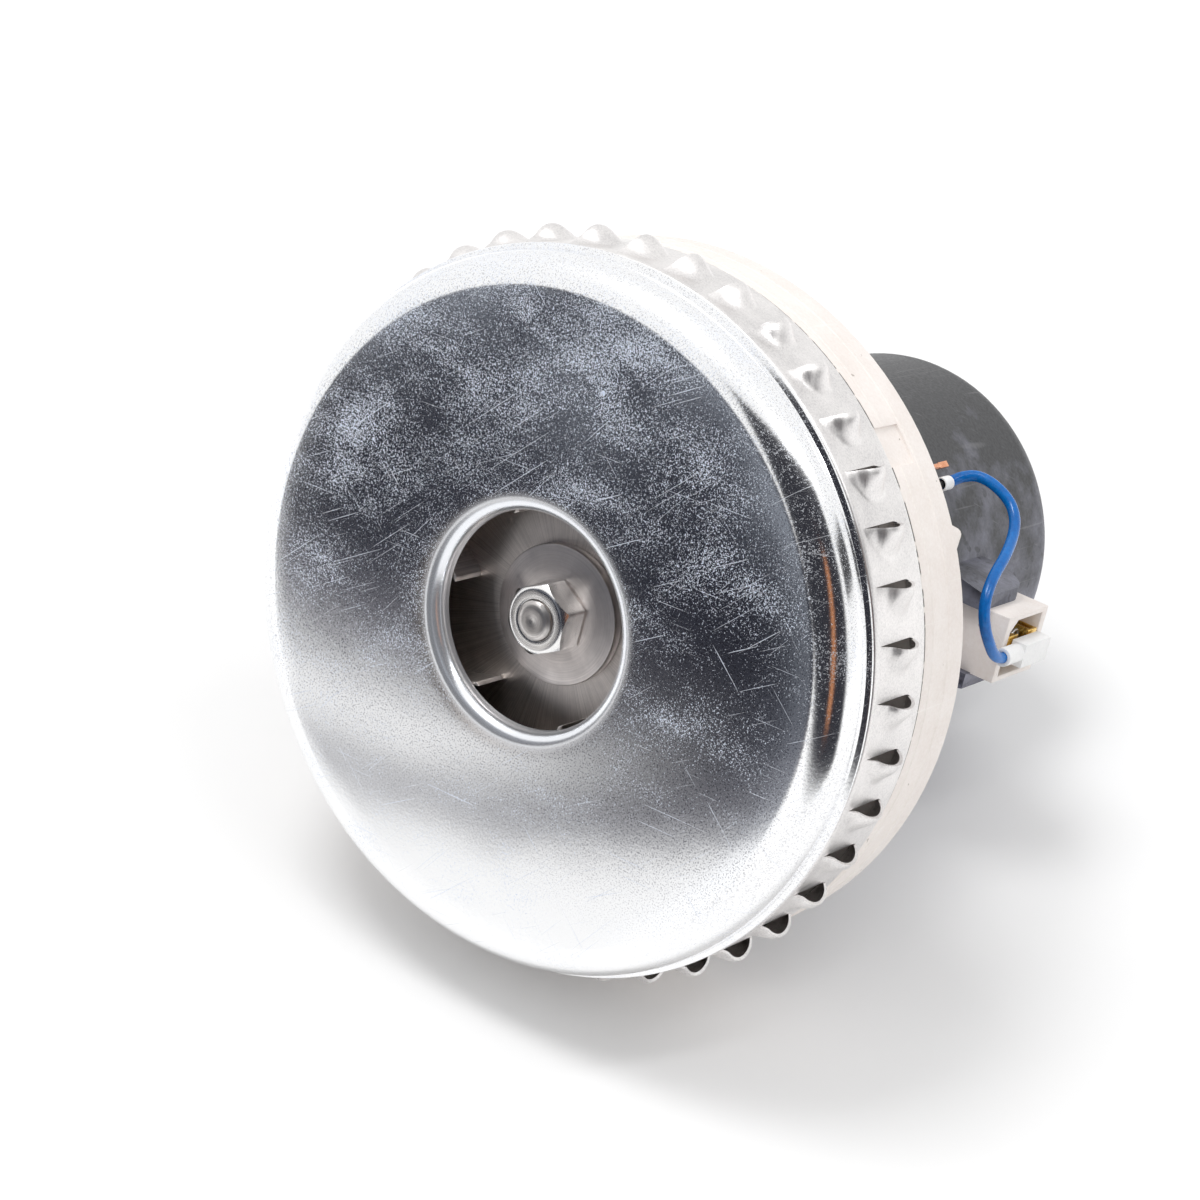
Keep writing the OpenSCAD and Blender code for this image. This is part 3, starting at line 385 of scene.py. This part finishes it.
LOOKS = {
    "zinc_plated_steel": shell_steel(),
    "fan_aluminium": brushed_plate("fan_plate", (0.93, 0.87, 0.83), 0.36),
    "washer_steel": turned_metal("washer", (0.90, 0.84, 0.81), 0.38, spread=0.08),
    "plated_nut": turned_metal("nut", (0.92, 0.91, 0.90), 0.22, 3000, 0.008, spread=0.05),
    "shaft_steel": turned_metal("shaft", (0.68, 0.65, 0.63), 0.36, 3600, 0.03),
    "bearing_steel": turned_metal("bearing", (0.72, 0.72, 0.74), 0.2, 3000, 0.01, spread=0.08),
    "plain_steel": grained("plain_steel", (0.48, 0.48, 0.5), (0.8, 0.8, 0.8), 0.34, 1800,
                           metal=1.0),
    "spring_steel": grained("spring_steel", (0.42, 0.41, 0.40), (0.72, 0.71, 0.69), 0.32, 2400,
                            0.02, metal=1.0),
    "lamination_steel": laminated(),
    "winding_copper": wound_copper(),
    "bare_copper": grained("copper", (0.66, 0.26, 0.13), (0.97, 0.52, 0.32), 0.3, 1600,
                           metal=1.0),
    "brass": grained("brass", (0.66, 0.40, 0.09), (0.96, 0.70, 0.22), 0.28, metal=1.0,
                     marks=0.4, mark_color=(0.95, 0.82, 0.52)),
    "brown_resin": grained("resin", (0.12, 0.06, 0.03), (0.22, 0.11, 0.06), 0.45),
    "carbon": grained("carbon", (0.03, 0.03, 0.035), (0.09, 0.09, 0.10), 0.55, 2600, 0.05),
    "cream_plastic": cream_moulding(),
    "black_plastic": grained("black", (0.013, 0.013, 0.016), (0.032, 0.034, 0.040), 0.42,
                             depth=0.05, marks=0.2, mark_color=(0.30, 0.30, 0.31)),
    "white_plastic": grained("white", (0.84, 0.84, 0.84), (0.93, 0.93, 0.925), 0.4, 1400, 0.02),
    "blue_insulation": grained("blue", (0.0, 0.095, 0.36), (0.0, 0.165, 0.54), 0.2, 1200, 0.006,
                               Specular_IOR_Level=0.4),
    "black_insulation": grained("dark_sleeve", (0.012, 0.012, 0.014), (0.04, 0.04, 0.042), 0.35),
}
PAN_STEEL = pan_steel()
COVER_BLACK = scuffed_black_with_painted_sheen()
slot_of = {part["node"]: part["material_slot"] for part in frame["record"]["subparts"]}
for name, node in nodes.items():
    if not node.material_slots:
        node.data.materials.append(None)
    for place in node.material_slots:
        place.material = LOOKS[slot_of[name]]


# Shapes, with lengths in millimetres and angles in degrees
def soften(piece, angle):
    mesh = piece.data
    mesh.polygons.foreach_set("use_smooth", [True] * len(mesh.polygons))
    mesh.set_sharp_from_angle(angle=math.radians(angle))


def from_bmesh(name, bm, angle=35):
    bmesh.ops.recalc_face_normals(bm, faces=bm.faces)
    mesh = bpy.data.meshes.new(name)
    bm.to_mesh(mesh)
    bm.free()
    piece = bpy.data.objects.new(name, mesh)
    scene.collection.objects.link(piece)
    soften(piece, angle)
    return piece


def build(name, points, faces, angle, merge=0.0):
    """An object from points, those closer than merge joined."""
    bm = bmesh.new()
    made = [bm.verts.new(Vector(p) * MM) for p in points]
    for face in faces:
        bm.faces.new([made[i] for i in face])
    if merge:
        bmesh.ops.remove_doubles(bm, verts=bm.verts, dist=merge * MM)
    return from_bmesh(name, bm, angle)


def settle(piece, node, material=None):
    """Puts a finished piece in the place of the CAD node that it stands for."""
    piece.data.materials.clear()
    piece.data.materials.append(material or LOOKS[slot_of[node]])
    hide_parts(node)
    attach(piece, nodes[node]["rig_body"])
    return piece


def arc(x, y, r, start, end, steps):
    turns = [math.radians(start + (end - start) * i / steps) for i in range(steps + 1)]
    return [(x + r * math.cos(turn), y + r * math.sin(turn)) for turn in turns]


def ring_faces(count, turns):
    """Faces of turns closed rows of count points each, the last row joined to the first."""
    return [(i * count + k, i * count + (k + 1) % count,
             (i + 1) % turns * count + (k + 1) % count, (i + 1) % turns * count + k)
            for i in range(turns) for k in range(count)]


def turned(name, rows, angle):
    """A solid of equally long rows of (radius, y) points at even angles about the shaft."""
    points = []
    for i, row in enumerate(rows):
        turn = 2 * math.pi * i / len(rows)
        points += [(r * math.cos(turn), y, r * math.sin(turn)) for r, y in row]
    return build(name, points, ring_faces(len(rows[0]), len(rows)), angle)


def dressed(node, width, material=None):
    """A copy of a CAD solid with its edges rounded."""
    flat, sharp, joined = math.radians(0.4), math.radians(28), 1e-6
    bm = bmesh.new()
    bm.from_mesh(nodes[node].data)
    bmesh.ops.remove_doubles(bm, verts=bm.verts, dist=joined)
    bmesh.ops.dissolve_limit(bm, angle_limit=flat, verts=bm.verts, edges=bm.edges)
    edges = [e for e in bm.edges if len(e.link_faces) == 2 and e.calc_face_angle(0) > sharp]
    bmesh.ops.bevel(bm, geom=edges, offset=width * MM, segments=2, profile=0.5,
                    affect="EDGES", clamp_overlap=True)
    settle(from_bmesh(node + "_form", bm), node, material)


def fan_pan():
    """Pressed pan: the lip of the inlet, the face, the corner and the flare over the shell."""
    lip, corner, sheet = 3.0, 7.0, 0.8
    outline = [(21.6, 4.0)] + arc(24.6, 3.0, lip, 180, 270, 12)
    outline += [(28.0, 0.0), (34.0, 0.03), (48.0, 0.06), (60.0, 0.03)]
    outline += arc(63.8, 7.0, corner, 270, 360, 20)
    outline += [(70.8, 7.0), (70.82, 7.7), (71.0, 8.05), (71.55, 8.3), (71.9, 8.5), (72.0, 8.85)]
    outline += [(71.85, 9.0), (71.3, 9.0), (71.1, 8.5), (70.2, 7.4)]
    outline += arc(63.8, 7.0, corner - sheet, 360, 270, 14)
    outline += [(60.0, sheet + 0.03), (48.0, sheet + 0.06), (34.0, sheet + 0.03)]
    outline += arc(24.6, 3.0, lip - sheet, 270, 180, 8) + [(22.4, 4.0), (22.0, 4.12)]
    settle(turned("pan_form", [outline] * 360, 35), "fan_pan", PAN_STEEL)


# Louvres: one strip of columns for each, whose first column is the raised edge of its slit
LOUVRES, LOUVRE_TURN = 42, 94.6
SHELL_R, SHELL_SHEET, SHELL_REAR = 72.0, 0.62, 28.0
LOUVRE_H, LOUVRE_FRONT, LOUVRE_PEAK, LOUVRE_REAR = 3.25, 11.2, 18.05, 23.2
LOUVRE_SINK, LOUVRE_TIP = 2.2, 2.2
LOUVRE_LEAN, LEAN_REACH = math.tan(math.radians(20)), 7.6
BEND, BEND_FRONT, BEND_FADE = 0.5, 21.2, 2.8
PITCH = 2 * math.pi * SHELL_R / LOUVRES
FLAT_FROM = 9.5  # from here to the next slit a strip is plain shell


def louvre_height(y):
    """Height of a louvre's open edge above the shell: a cone that ends in a ball."""
    if y <= LOUVRE_FRONT or y >= LOUVRE_REAR:
        return 0.0
    ball = LOUVRE_H + LOUVRE_SINK
    height = math.sqrt(max(0.0, ball ** 2 - (y - LOUVRE_PEAK) ** 2)) - LOUVRE_SINK
    if y < LOUVRE_PEAK:
        slope = (ball - LOUVRE_TIP) / (LOUVRE_PEAK - LOUVRE_FRONT)
        height = max(height, slope * (y - LOUVRE_FRONT))
    return max(0.0, min(height, LOUVRE_H))


def slit_bend(y):
    """How far the slit turns towards its own louvre at the rear end."""
    if y <= BEND_FRONT:
        return 0.0
    if y < LOUVRE_REAR:
        return BEND * ((y - BEND_FRONT) / (LOUVRE_REAR - BEND_FRONT)) ** 2
    return BEND * max(0.0, 1 - (y - LOUVRE_REAR) / BEND_FADE)


def louvre_point(centre, s, r, y):
    """The point of the shell that lies s round from the slit at the angle centre."""
    peak = louvre_height(y)
    share = peak / LOUVRE_H
    if s > FLAT_FROM:
        rise = 0.0
        shift = slit_bend(y) * (s - FLAT_FROM) / (PITCH - FLAT_FROM)
    else:
        reach = 2.0 + 4.9 * share ** 0.7
        rest = max(0.0, s - 0.3 * share) / reach
        rise = peak * math.cos(math.pi / 2 * min(1.0, rest)) ** 2
        shift = (LOUVRE_LEAN * peak + slit_bend(y)) * max(0.0, 1 - s / LEAN_REACH)
    turn = math.radians(centre - 360 / LOUVRES * (s + shift) / PITCH)
    return ((r + rise) * math.cos(turn), y, (r + rise) * math.sin(turn))


def louvre_shell():
    """The shell: a spigot at the front, the louvres and a seam groove at the rear."""
    rows = [(69.95, 6.6), (69.95, 9.05), (70.8, 9.2), (71.4, 9.34), (71.78, 9.6), (71.95, 10.0)]
    rows += [(SHELL_R, y) for y in (
        10.6, 11.2, 11.5, 12.0, 12.6, 13.2, 13.9, 14.6, 15.3, 16.0, 16.7, 17.4, 18.05, 18.7, 19.3,
        19.9, 20.5, 21.0, 21.5, 21.9, 22.3, 22.6, 22.85, 23.05, 23.2, 23.6, 24.4, 25.4, 26.4, 27.1)]
    rows += [(71.93, SHELL_REAR - 0.62), (71.65, SHELL_REAR - 0.5), (70.3, SHELL_REAR - 0.45)]
    columns = [0.0, 0.15, 0.45, 0.9, 1.4, 2.0, 2.7, 3.5, 4.3, 5.1, 5.9, 6.7, 7.6, 8.6, 9.6, 10.3,
               PITCH]
    points, faces = [], []
    n = len(rows)
    for i in range(LOUVRES):
        base = len(points)
        centre = LOUVRE_TURN + i * 360 / LOUVRES
        points += [louvre_point(centre, s, r, y) for s in columns for r, y in rows]
        for c in range(len(columns) - 1):
            for a in range(base + c * n, base + (c + 1) * n - 1):
                faces.append((a, a + 1, a + n + 1, a + n))
    piece = build("louvre_shell_form", points, faces, 50, merge=0.0005)
    thick = piece.modifiers.new("sheet", "SOLIDIFY")
    thick.thickness = SHELL_SHEET * MM
    thick.offset = -1
    dg = bpy.context.evaluated_depsgraph_get()
    piece.data = bpy.data.meshes.new_from_object(piece.evaluated_get(dg))
    piece.modifiers.clear()
    soften(piece, 40)
    settle(piece, "louvre_shell")


def fan_nut():
    """Hexagon nut: a grid round the shaft, so that its domed end meets the flats in arcs."""
    flat, corner, bore, turns, turned_by = 6.5, 7.44, 4.05, 180, 32
    front, rear = 3.5, 10.3
    face_r, dome_w, dome_h, dome_steps = 5.85, 1.65, 1.25, 6
    rows = []
    for i in range(turns):
        off = (360 * i / turns + turned_by) % 60 - 30
        edge = min(flat / math.cos(math.radians(off)), corner)
        row = [(bore, rear), (bore, 3.75), (4.15, 3.55), (4.35, 3.47), (5.0, 3.48), (5.4, 3.5),
               (face_r, 3.52)]
        for step in range(1, dome_steps + 1):
            r = face_r + (edge - face_r) * step / dome_steps
            row.append((r, front + dome_h * ((r - face_r) / dome_w) ** 1.7 + 0.02))
        row += [(edge + 0.01, row[-1][1] + 0.25), (edge, rear - 0.4), (edge - 0.35, rear)]
        rows.append(row)
    settle(turned("nut_form", rows, 28), "fan_nut")


def shaft():
    """Shaft with a centre in its turned end and a thread behind it."""
    r, axis_r, turns = 4.0, 0.02, 72
    tip, end = 2.5, 135.0
    pitch, depth, run_out, thread_end = 1.0, 0.34, 12.6, 13.0
    stations = [3.1 + 0.125 * i for i in range(80)]
    rows = []
    for i in range(turns):
        row = [(axis_r, tip + 0.1), (0.5, tip + 0.06), (0.62, tip + 0.01), (2.2, tip),
               (2.35, tip + 0.02), (3.05, tip + 0.02), (3.4, tip + 0.3)]
        for y in stations:
            phase = (y / pitch - i / turns) % 1.0
            cut = depth * (1 - abs(2 * phase - 1)) * min(1.0, (y - 2.6) / 0.8)
            if y >= run_out:
                cut *= max(0.0, (thread_end - y) / (thread_end - run_out))
            row.append((r - cut, y))
        row += [(r, 14.0), (r, 60.0), (r, 110.0), (r, end - 0.6), (3.4, end), (axis_r, end)]
        rows.append(row)
    settle(turned("shaft_form", rows, 40), "shaft")


def through(points, steps):
    """A smooth curve (Catmull-Rom) through the points, in so many steps between two of them."""
    p = [Vector(q) for q in points]
    p = [2 * p[0] - p[1]] + p + [2 * p[-1] - p[-2]]
    made = []
    for i in range(1, len(p) - 2):
        for step in range(steps):
            t = step / steps
            made.append(0.5 * (2 * p[i] + (p[i + 1] - p[i - 1]) * t
                               + (2 * p[i - 1] - 5 * p[i] + 4 * p[i + 1] - p[i + 2]) * t * t
                               + (3 * p[i] - p[i - 1] - 3 * p[i + 1] + p[i + 2]) * t ** 3))
    return made + [p[-2]]


# Rings that round a wire's end: distance from the end and size, both by the wire's radius
END_RINGS = [(0.0, 0.80), (0.12, 0.95), (0.3, 1.0)]


def tube(name, path, radius, sides, first=(1, 0, 0)):
    """A round wire along a path, its ends slightly rounded."""
    path = [Vector(q) for q in path]
    last = len(path) - 1
    side = Vector(first)
    points, count = [], 0
    for i, p in enumerate(path):
        ahead = (path[min(i + 1, last)] - path[max(i - 1, 0)]).normalized()
        side = (side - ahead * side.dot(ahead)).normalized()
        other = ahead.cross(side)
        rings = [(0.0, 1.0)]
        if i == 0:
            rings = END_RINGS
        if i == last:
            rings = [(-shift, share) for shift, share in reversed(END_RINGS)]
        for shift, share in rings:
            middle = p + ahead * (shift * radius)
            points += [middle + radius * share * (math.cos(t) * side + math.sin(t) * other)
                       for t in (2 * math.pi * k / sides for k in range(sides))]
            count += 1
    faces = [(i * sides + k, i * sides + (k + 1) % sides, (i + 1) * sides + (k + 1) % sides,
              (i + 1) * sides + k) for i in range(count - 1) for k in range(sides)]
    faces += [tuple(range(sides))[::-1], tuple((count - 1) * sides + k for k in range(sides))]
    return build(name, points, faces, 50)


LEAD_R = 1.2
LEAD_ROUTE = [
    (32.6, 92.8, 28.8), (32.6, 94.9, 28.8), (32.9, 96.2, 29.2), (34, 97.9, 30.2), (36.2, 99.4, 31),
    (39.2, 100, 30.8), (42.6, 100.2, 29.6), (45.6, 99.8, 27.8), (48.2, 97.8, 25.6),
    (50.4, 94, 23.2), (52.6, 88, 20.8), (54, 82.6, 18.2), (55.2, 79.1, 15.4), (56.3, 77.6, 12.2),
    (57.1, 78.4, 8.8), (57.5, 81.2, 5.2), (57.5, 85.4, 1.6), (57.5, 89.2, 0.05), (57.5, 93, 0)]
HOLDER_MID = 101.65
SPRING_IN, SPRING_OUT, BRUSH_TRAVEL = 32.6, 54.5, 6


def brush_spring(side, name):
    """Fifteen curls about the brush's axis, the first and the last drawn closer."""
    curls, per_curl, wire, middle, drawn = 15, 28, 0.3, 2.5, 0.045
    length = SPRING_OUT - SPRING_IN - 2 * wire
    path = []
    for i in range(curls * per_curl + 1):
        t = i / (curls * per_curl)
        along = t - drawn * math.sin(2 * math.pi * t) * (1 - math.sin(math.pi * t) ** 6)
        turn = 2 * math.pi * i / per_curl
        path.append((side * (SPRING_IN + wire + length * along),
                     HOLDER_MID + middle * math.cos(turn), middle * math.sin(turn)))
    piece = settle(tube("spring_" + name, path, wire, 10, (0, 1, 0)), "brush_spring_" + name)
    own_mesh(piece)


fan_pan()
louvre_shell()
fan_nut()
shaft()
settle(tube("lead_form", through(LEAD_ROUTE, 8), LEAD_R, 24), "blue_lead")
brush_spring(1, "right")
brush_spring(-1, "left")
dressed("fan_bracket", 0.3)
dressed("motor_cover", 0.35, COVER_BLACK)
for node, width in (("brush_holder_right", 0.3), ("brush_holder_left", 0.3),
                    ("brush_tube_right", 0.12), ("brush_tube_left", 0.12), ("flag_terminal", 0.35),
                    ("front_washer", 0.15), ("wheel_blades", 0.15), ("wheel_front_plate", 0.2),
                    ("brush_bracket", 0.3)):
    dressed(node, width)

# Stage: a pale floor under the unit as it lies, tipped onto its cover
FLOOR_FRONT = Vector((0, 43.2, -71.6)) * MM
FLOOR_REAR = Vector((0, 138.9, -39.5)) * MM
slope = (FLOOR_REAR - FLOOR_FRONT).normalized()
up = Vector((1, 0, 0)).cross(slope)


def stage_look(name, white, lift, far_lift, reach):
    """Diffuse white, which camera, glossy and transmission rays see lifted towards plain white.

    The lift grows from the middle outwards over the two distances in reach.
    """
    material = bpy.data.materials.new(name)
    material.use_nodes = True
    graph = Graph(material.node_tree)
    graph.tree.nodes.clear()
    place = graph.add("ShaderNodeTexCoord").outputs["Object"]
    distance = graph.add("ShaderNodeVectorMath", {0: place}, operation="LENGTH").outputs["Value"]
    strength = graph.times(graph.seen(), graph.remap(distance, *reach, lift, far_lift))
    diffuse = graph.add("ShaderNodeBsdfDiffuse", {"Color": (white, white, white, 1)})
    glow = graph.add("ShaderNodeEmission", {"Strength": strength})
    both = graph.add("ShaderNodeAddShader", {0: diffuse.outputs[0], 1: glow.outputs[0]})
    graph.add("ShaderNodeOutputMaterial", {"Surface": both.outputs[0]})
    return material


def stage_plane(name, centre, normal, size, material):
    mesh = bpy.data.meshes.new(name)
    w, h = size[0] / 2, size[1] / 2
    mesh.from_pydata([(-w, -h, 0), (w, -h, 0), (w, h, 0), (-w, h, 0)], [], [(0, 1, 2, 3)])
    plane = bpy.data.objects.new(name, mesh)
    scene.collection.objects.link(plane)
    plane.rotation_mode = "QUATERNION"
    plane.rotation_quaternion = Vector(normal).to_track_quat("Z", "Y")
    plane.location = centre
    mesh.materials.append(material)
    return plane


FLOOR_GAP, FLOOR_SIDE = 0.4 * MM, 6
stage_plane("floor", FLOOR_FRONT - up * FLOOR_GAP, up, (FLOOR_SIDE, FLOOR_SIDE),
            stage_look("floor_white", white=0.93, lift=0.02, far_lift=0.35, reach=(0.22, 0.55)))

# The room: white to look at, a little dimmer as a light on diffuse surfaces
ROOM_LIGHT = 0.74
world = bpy.data.worlds.new("world")
scene.world = world
world.use_nodes = True
room = Graph(world.node_tree)
background = room.tree.nodes["Background"]
background.inputs["Color"].default_value = (1, 1, 1, 1)
room.feed(background.inputs["Strength"], room.remap(room.seen(), 0.0, 1.0, ROOM_LIGHT, 1.0))


def lamp(name, place, aim, size, watts):
    data = bpy.data.lights.new(name, "AREA")
    data.shape = "RECTANGLE"
    data.size, data.size_y = size
    data.energy = watts
    holder = bpy.data.objects.new(name, data)
    scene.collection.objects.link(holder)
    holder.location = place
    holder.rotation_mode = "QUATERNION"
    holder.rotation_quaternion = (Vector(aim) - Vector(place)).to_track_quat("-Z", "Y")


lamp("key_lamp", (-0.28, -0.38, 1.0), aim=(0, 0.07, 0), size=(0.4, 0.4), watts=4.8)
lamp("strip_lamp", (0.36, -0.08, 0.58), aim=(0.05, 0.09, 0.02), size=(0.5, 0.05), watts=0.8)


class Card(Look):
    """A panel that only reflections show; its colour fades out into the white room behind it."""

    def __init__(self, name):
        super().__init__(name)
        self.tree.nodes.remove(self.shader)
        self.glow = self.add("ShaderNodeEmission")
        clear = self.add("ShaderNodeBsdfTransparent")
        self.fade = self.add("ShaderNodeMixShader", {1: clear.outputs[0], 2: self.glow.outputs[0]})
        self.feed(self.tree.nodes["Material Output"].inputs["Surface"], self.fade.outputs[0])
        self.x, self.y, _ = self.axes()

    def smooth(self, value, low, high):
        return self.remap(value, low, high, interpolation_type="SMOOTHSTEP")

    def stand(self, centre, toward, size, color, mask):
        self.feed(self.glow.inputs["Color"], (*color, 1) if isinstance(color, tuple) else color)
        self.feed(self.fade.inputs["Fac"], mask)
        card = stage_plane(self.material.name, centre, toward, size, self.material)
        card.visible_camera = False
        card.visible_diffuse = False
        card.visible_shadow = False
        card.visible_transmission = False
        return card


def soft_card(name, centre, toward, size, color, soft):
    """A card of one colour whose edges fade over the width soft."""
    card = Card(name)
    across = card.smooth(card.math("ABSOLUTE", card.x), size[0] / 2, size[0] / 2 - soft)
    along = card.smooth(card.math("ABSOLUTE", card.y), size[1] / 2, size[1] / 2 - soft)
    card.stand(centre, toward, size, color, card.times(across, along))


# Colours that the pan's face mirrors, from its foot to its top on either side, and across its hub
FACE_LEFT = [
    (0.08, (1.0, 1.0, 1.0)), (0.12, (0.86, 0.86, 0.86)), (0.17, (0.46, 0.46, 0.48)),
    (0.21, (0.42, 0.42, 0.44)), (0.26, (0.74, 0.74, 0.74)), (0.31, (1.0, 1.0, 1.0)),
    (0.37, (0.66, 0.66, 0.67)), (0.44, (0.30, 0.30, 0.32)), (0.52, (0.11, 0.11, 0.13)),
    (0.65, (0.03, 0.032, 0.045)), (1.0, (0.04, 0.042, 0.055))]
FACE_RIGHT = [
    (0.08, (1.0, 1.0, 1.0)), (0.11, (0.80, 0.80, 0.80)), (0.15, (0.34, 0.34, 0.36)),
    (0.20, (0.13, 0.13, 0.15)), (0.30, (0.035, 0.036, 0.05)), (0.5, (0.015, 0.016, 0.025)),
    (1.0, (0.03, 0.032, 0.045))]
FACE_HUB = [
    (0.0, (0.05, 0.045, 0.04)), (0.24, (0.20, 0.18, 0.17)), (0.38, (0.66, 0.61, 0.58)),
    (0.56, (0.92, 0.87, 0.83)), (0.72, (1.0, 0.93, 0.84)), (0.84, (0.85, 0.78, 0.73)),
    (1.0, (0.55, 0.50, 0.46))]
CORE_WHITE = (0.97, 0.97, 0.97)


def face_card(card_y, size):
    """The room as the pan's flat face mirrors it.

    The card is scaled so that its own coordinates are those of the point of the face that shows
    it, seen from the photograph's camera. They are used here in millimetres.
    """
    face = Card("face_card")
    across, upward = face.times(face.x, 1 / MM), face.times(face.y, 1 / MM)

    def distance(x, z):
        return face.length(face.minus(across, x), face.minus(upward, z))

    # The floor's horizon bends over the face, and the room darkens above it
    horizon = face.plus(face.times(across, across, 0.0035), -49.5, face.times(across, 0.258))
    ripple = face.times(face.minus(face.noise(45, 2.0), 0.5), 5.0)
    height = face.remap(face.plus(face.minus(upward, horizon), ripple), -10, 90)
    lit = face.mix(face.smooth(across, -20, 58), face.ramp(height, FACE_LEFT),
                   face.ramp(height, FACE_RIGHT))

    # A faint band inside the right edge and a haze along the top
    from_middle = distance(0, 0)
    band = face.times(face.smooth(from_middle, 57, 61), face.smooth(from_middle, 84, 70),
                      face.smooth(across, 30, 50), 0.11)
    haze = face.times(face.smooth(upward, 22, 56),
                      face.remap(face.noise(38, 2.0), 0.4, 0.65, 0.02, 0.20))
    pale = face.plus(band, haze)
    blue = face.add("ShaderNodeCombineColor", {
        "Red": face.times(pale, 0.92), "Green": pale, "Blue": face.times(pale, 1.12)})
    lit = face.mix(1.0, lit, blue.outputs["Color"], "ADD")

    # What the wheel and the nut mirror through the inlet
    diagonal = face.plus(face.times(across, 0.8), face.times(upward, 0.25))
    hub = face.ramp(face.remap(diagonal, -22, 22), FACE_HUB)
    lit = face.mix(face.smooth(distance(-6, -5), 21, 15), lit, hub)
    lit = face.mix(face.smooth(from_middle, 12.0, 9.0), lit, CORE_WHITE)

    share = card_y / camera.location.y
    centre = (-camera.location.x * share, card_y, -camera.location.z * share)
    mask = face.smooth(distance(9, 8), 82, 76)
    card = face.stand(centre, (0, -1, 0), (size, size), lit, mask)
    card.scale = (1 + share, 1 + share, 1 + share)


face_card(card_y=-0.09, size=0.19)
soft_card("right_card", (0.128, -0.296, 0.13), toward=(-0.75, 0.5, 0.1), size=(0.72, 0.52),
          color=(0.035, 0.036, 0.045), soft=0.05)
soft_card("warm_card", (0.19, -0.12, 0.045), toward=(-0.85, 0.4, 0.2), size=(0.055, 0.18),
          color=(0.50, 0.22, 0.11), soft=0.022)
soft_card("louvre_card", (0.25, 0.10, 0.14), toward=(-0.82, -0.35, -0.45), size=(0.16, 0.09),
          color=(0.06, 0.06, 0.065), soft=0.02)
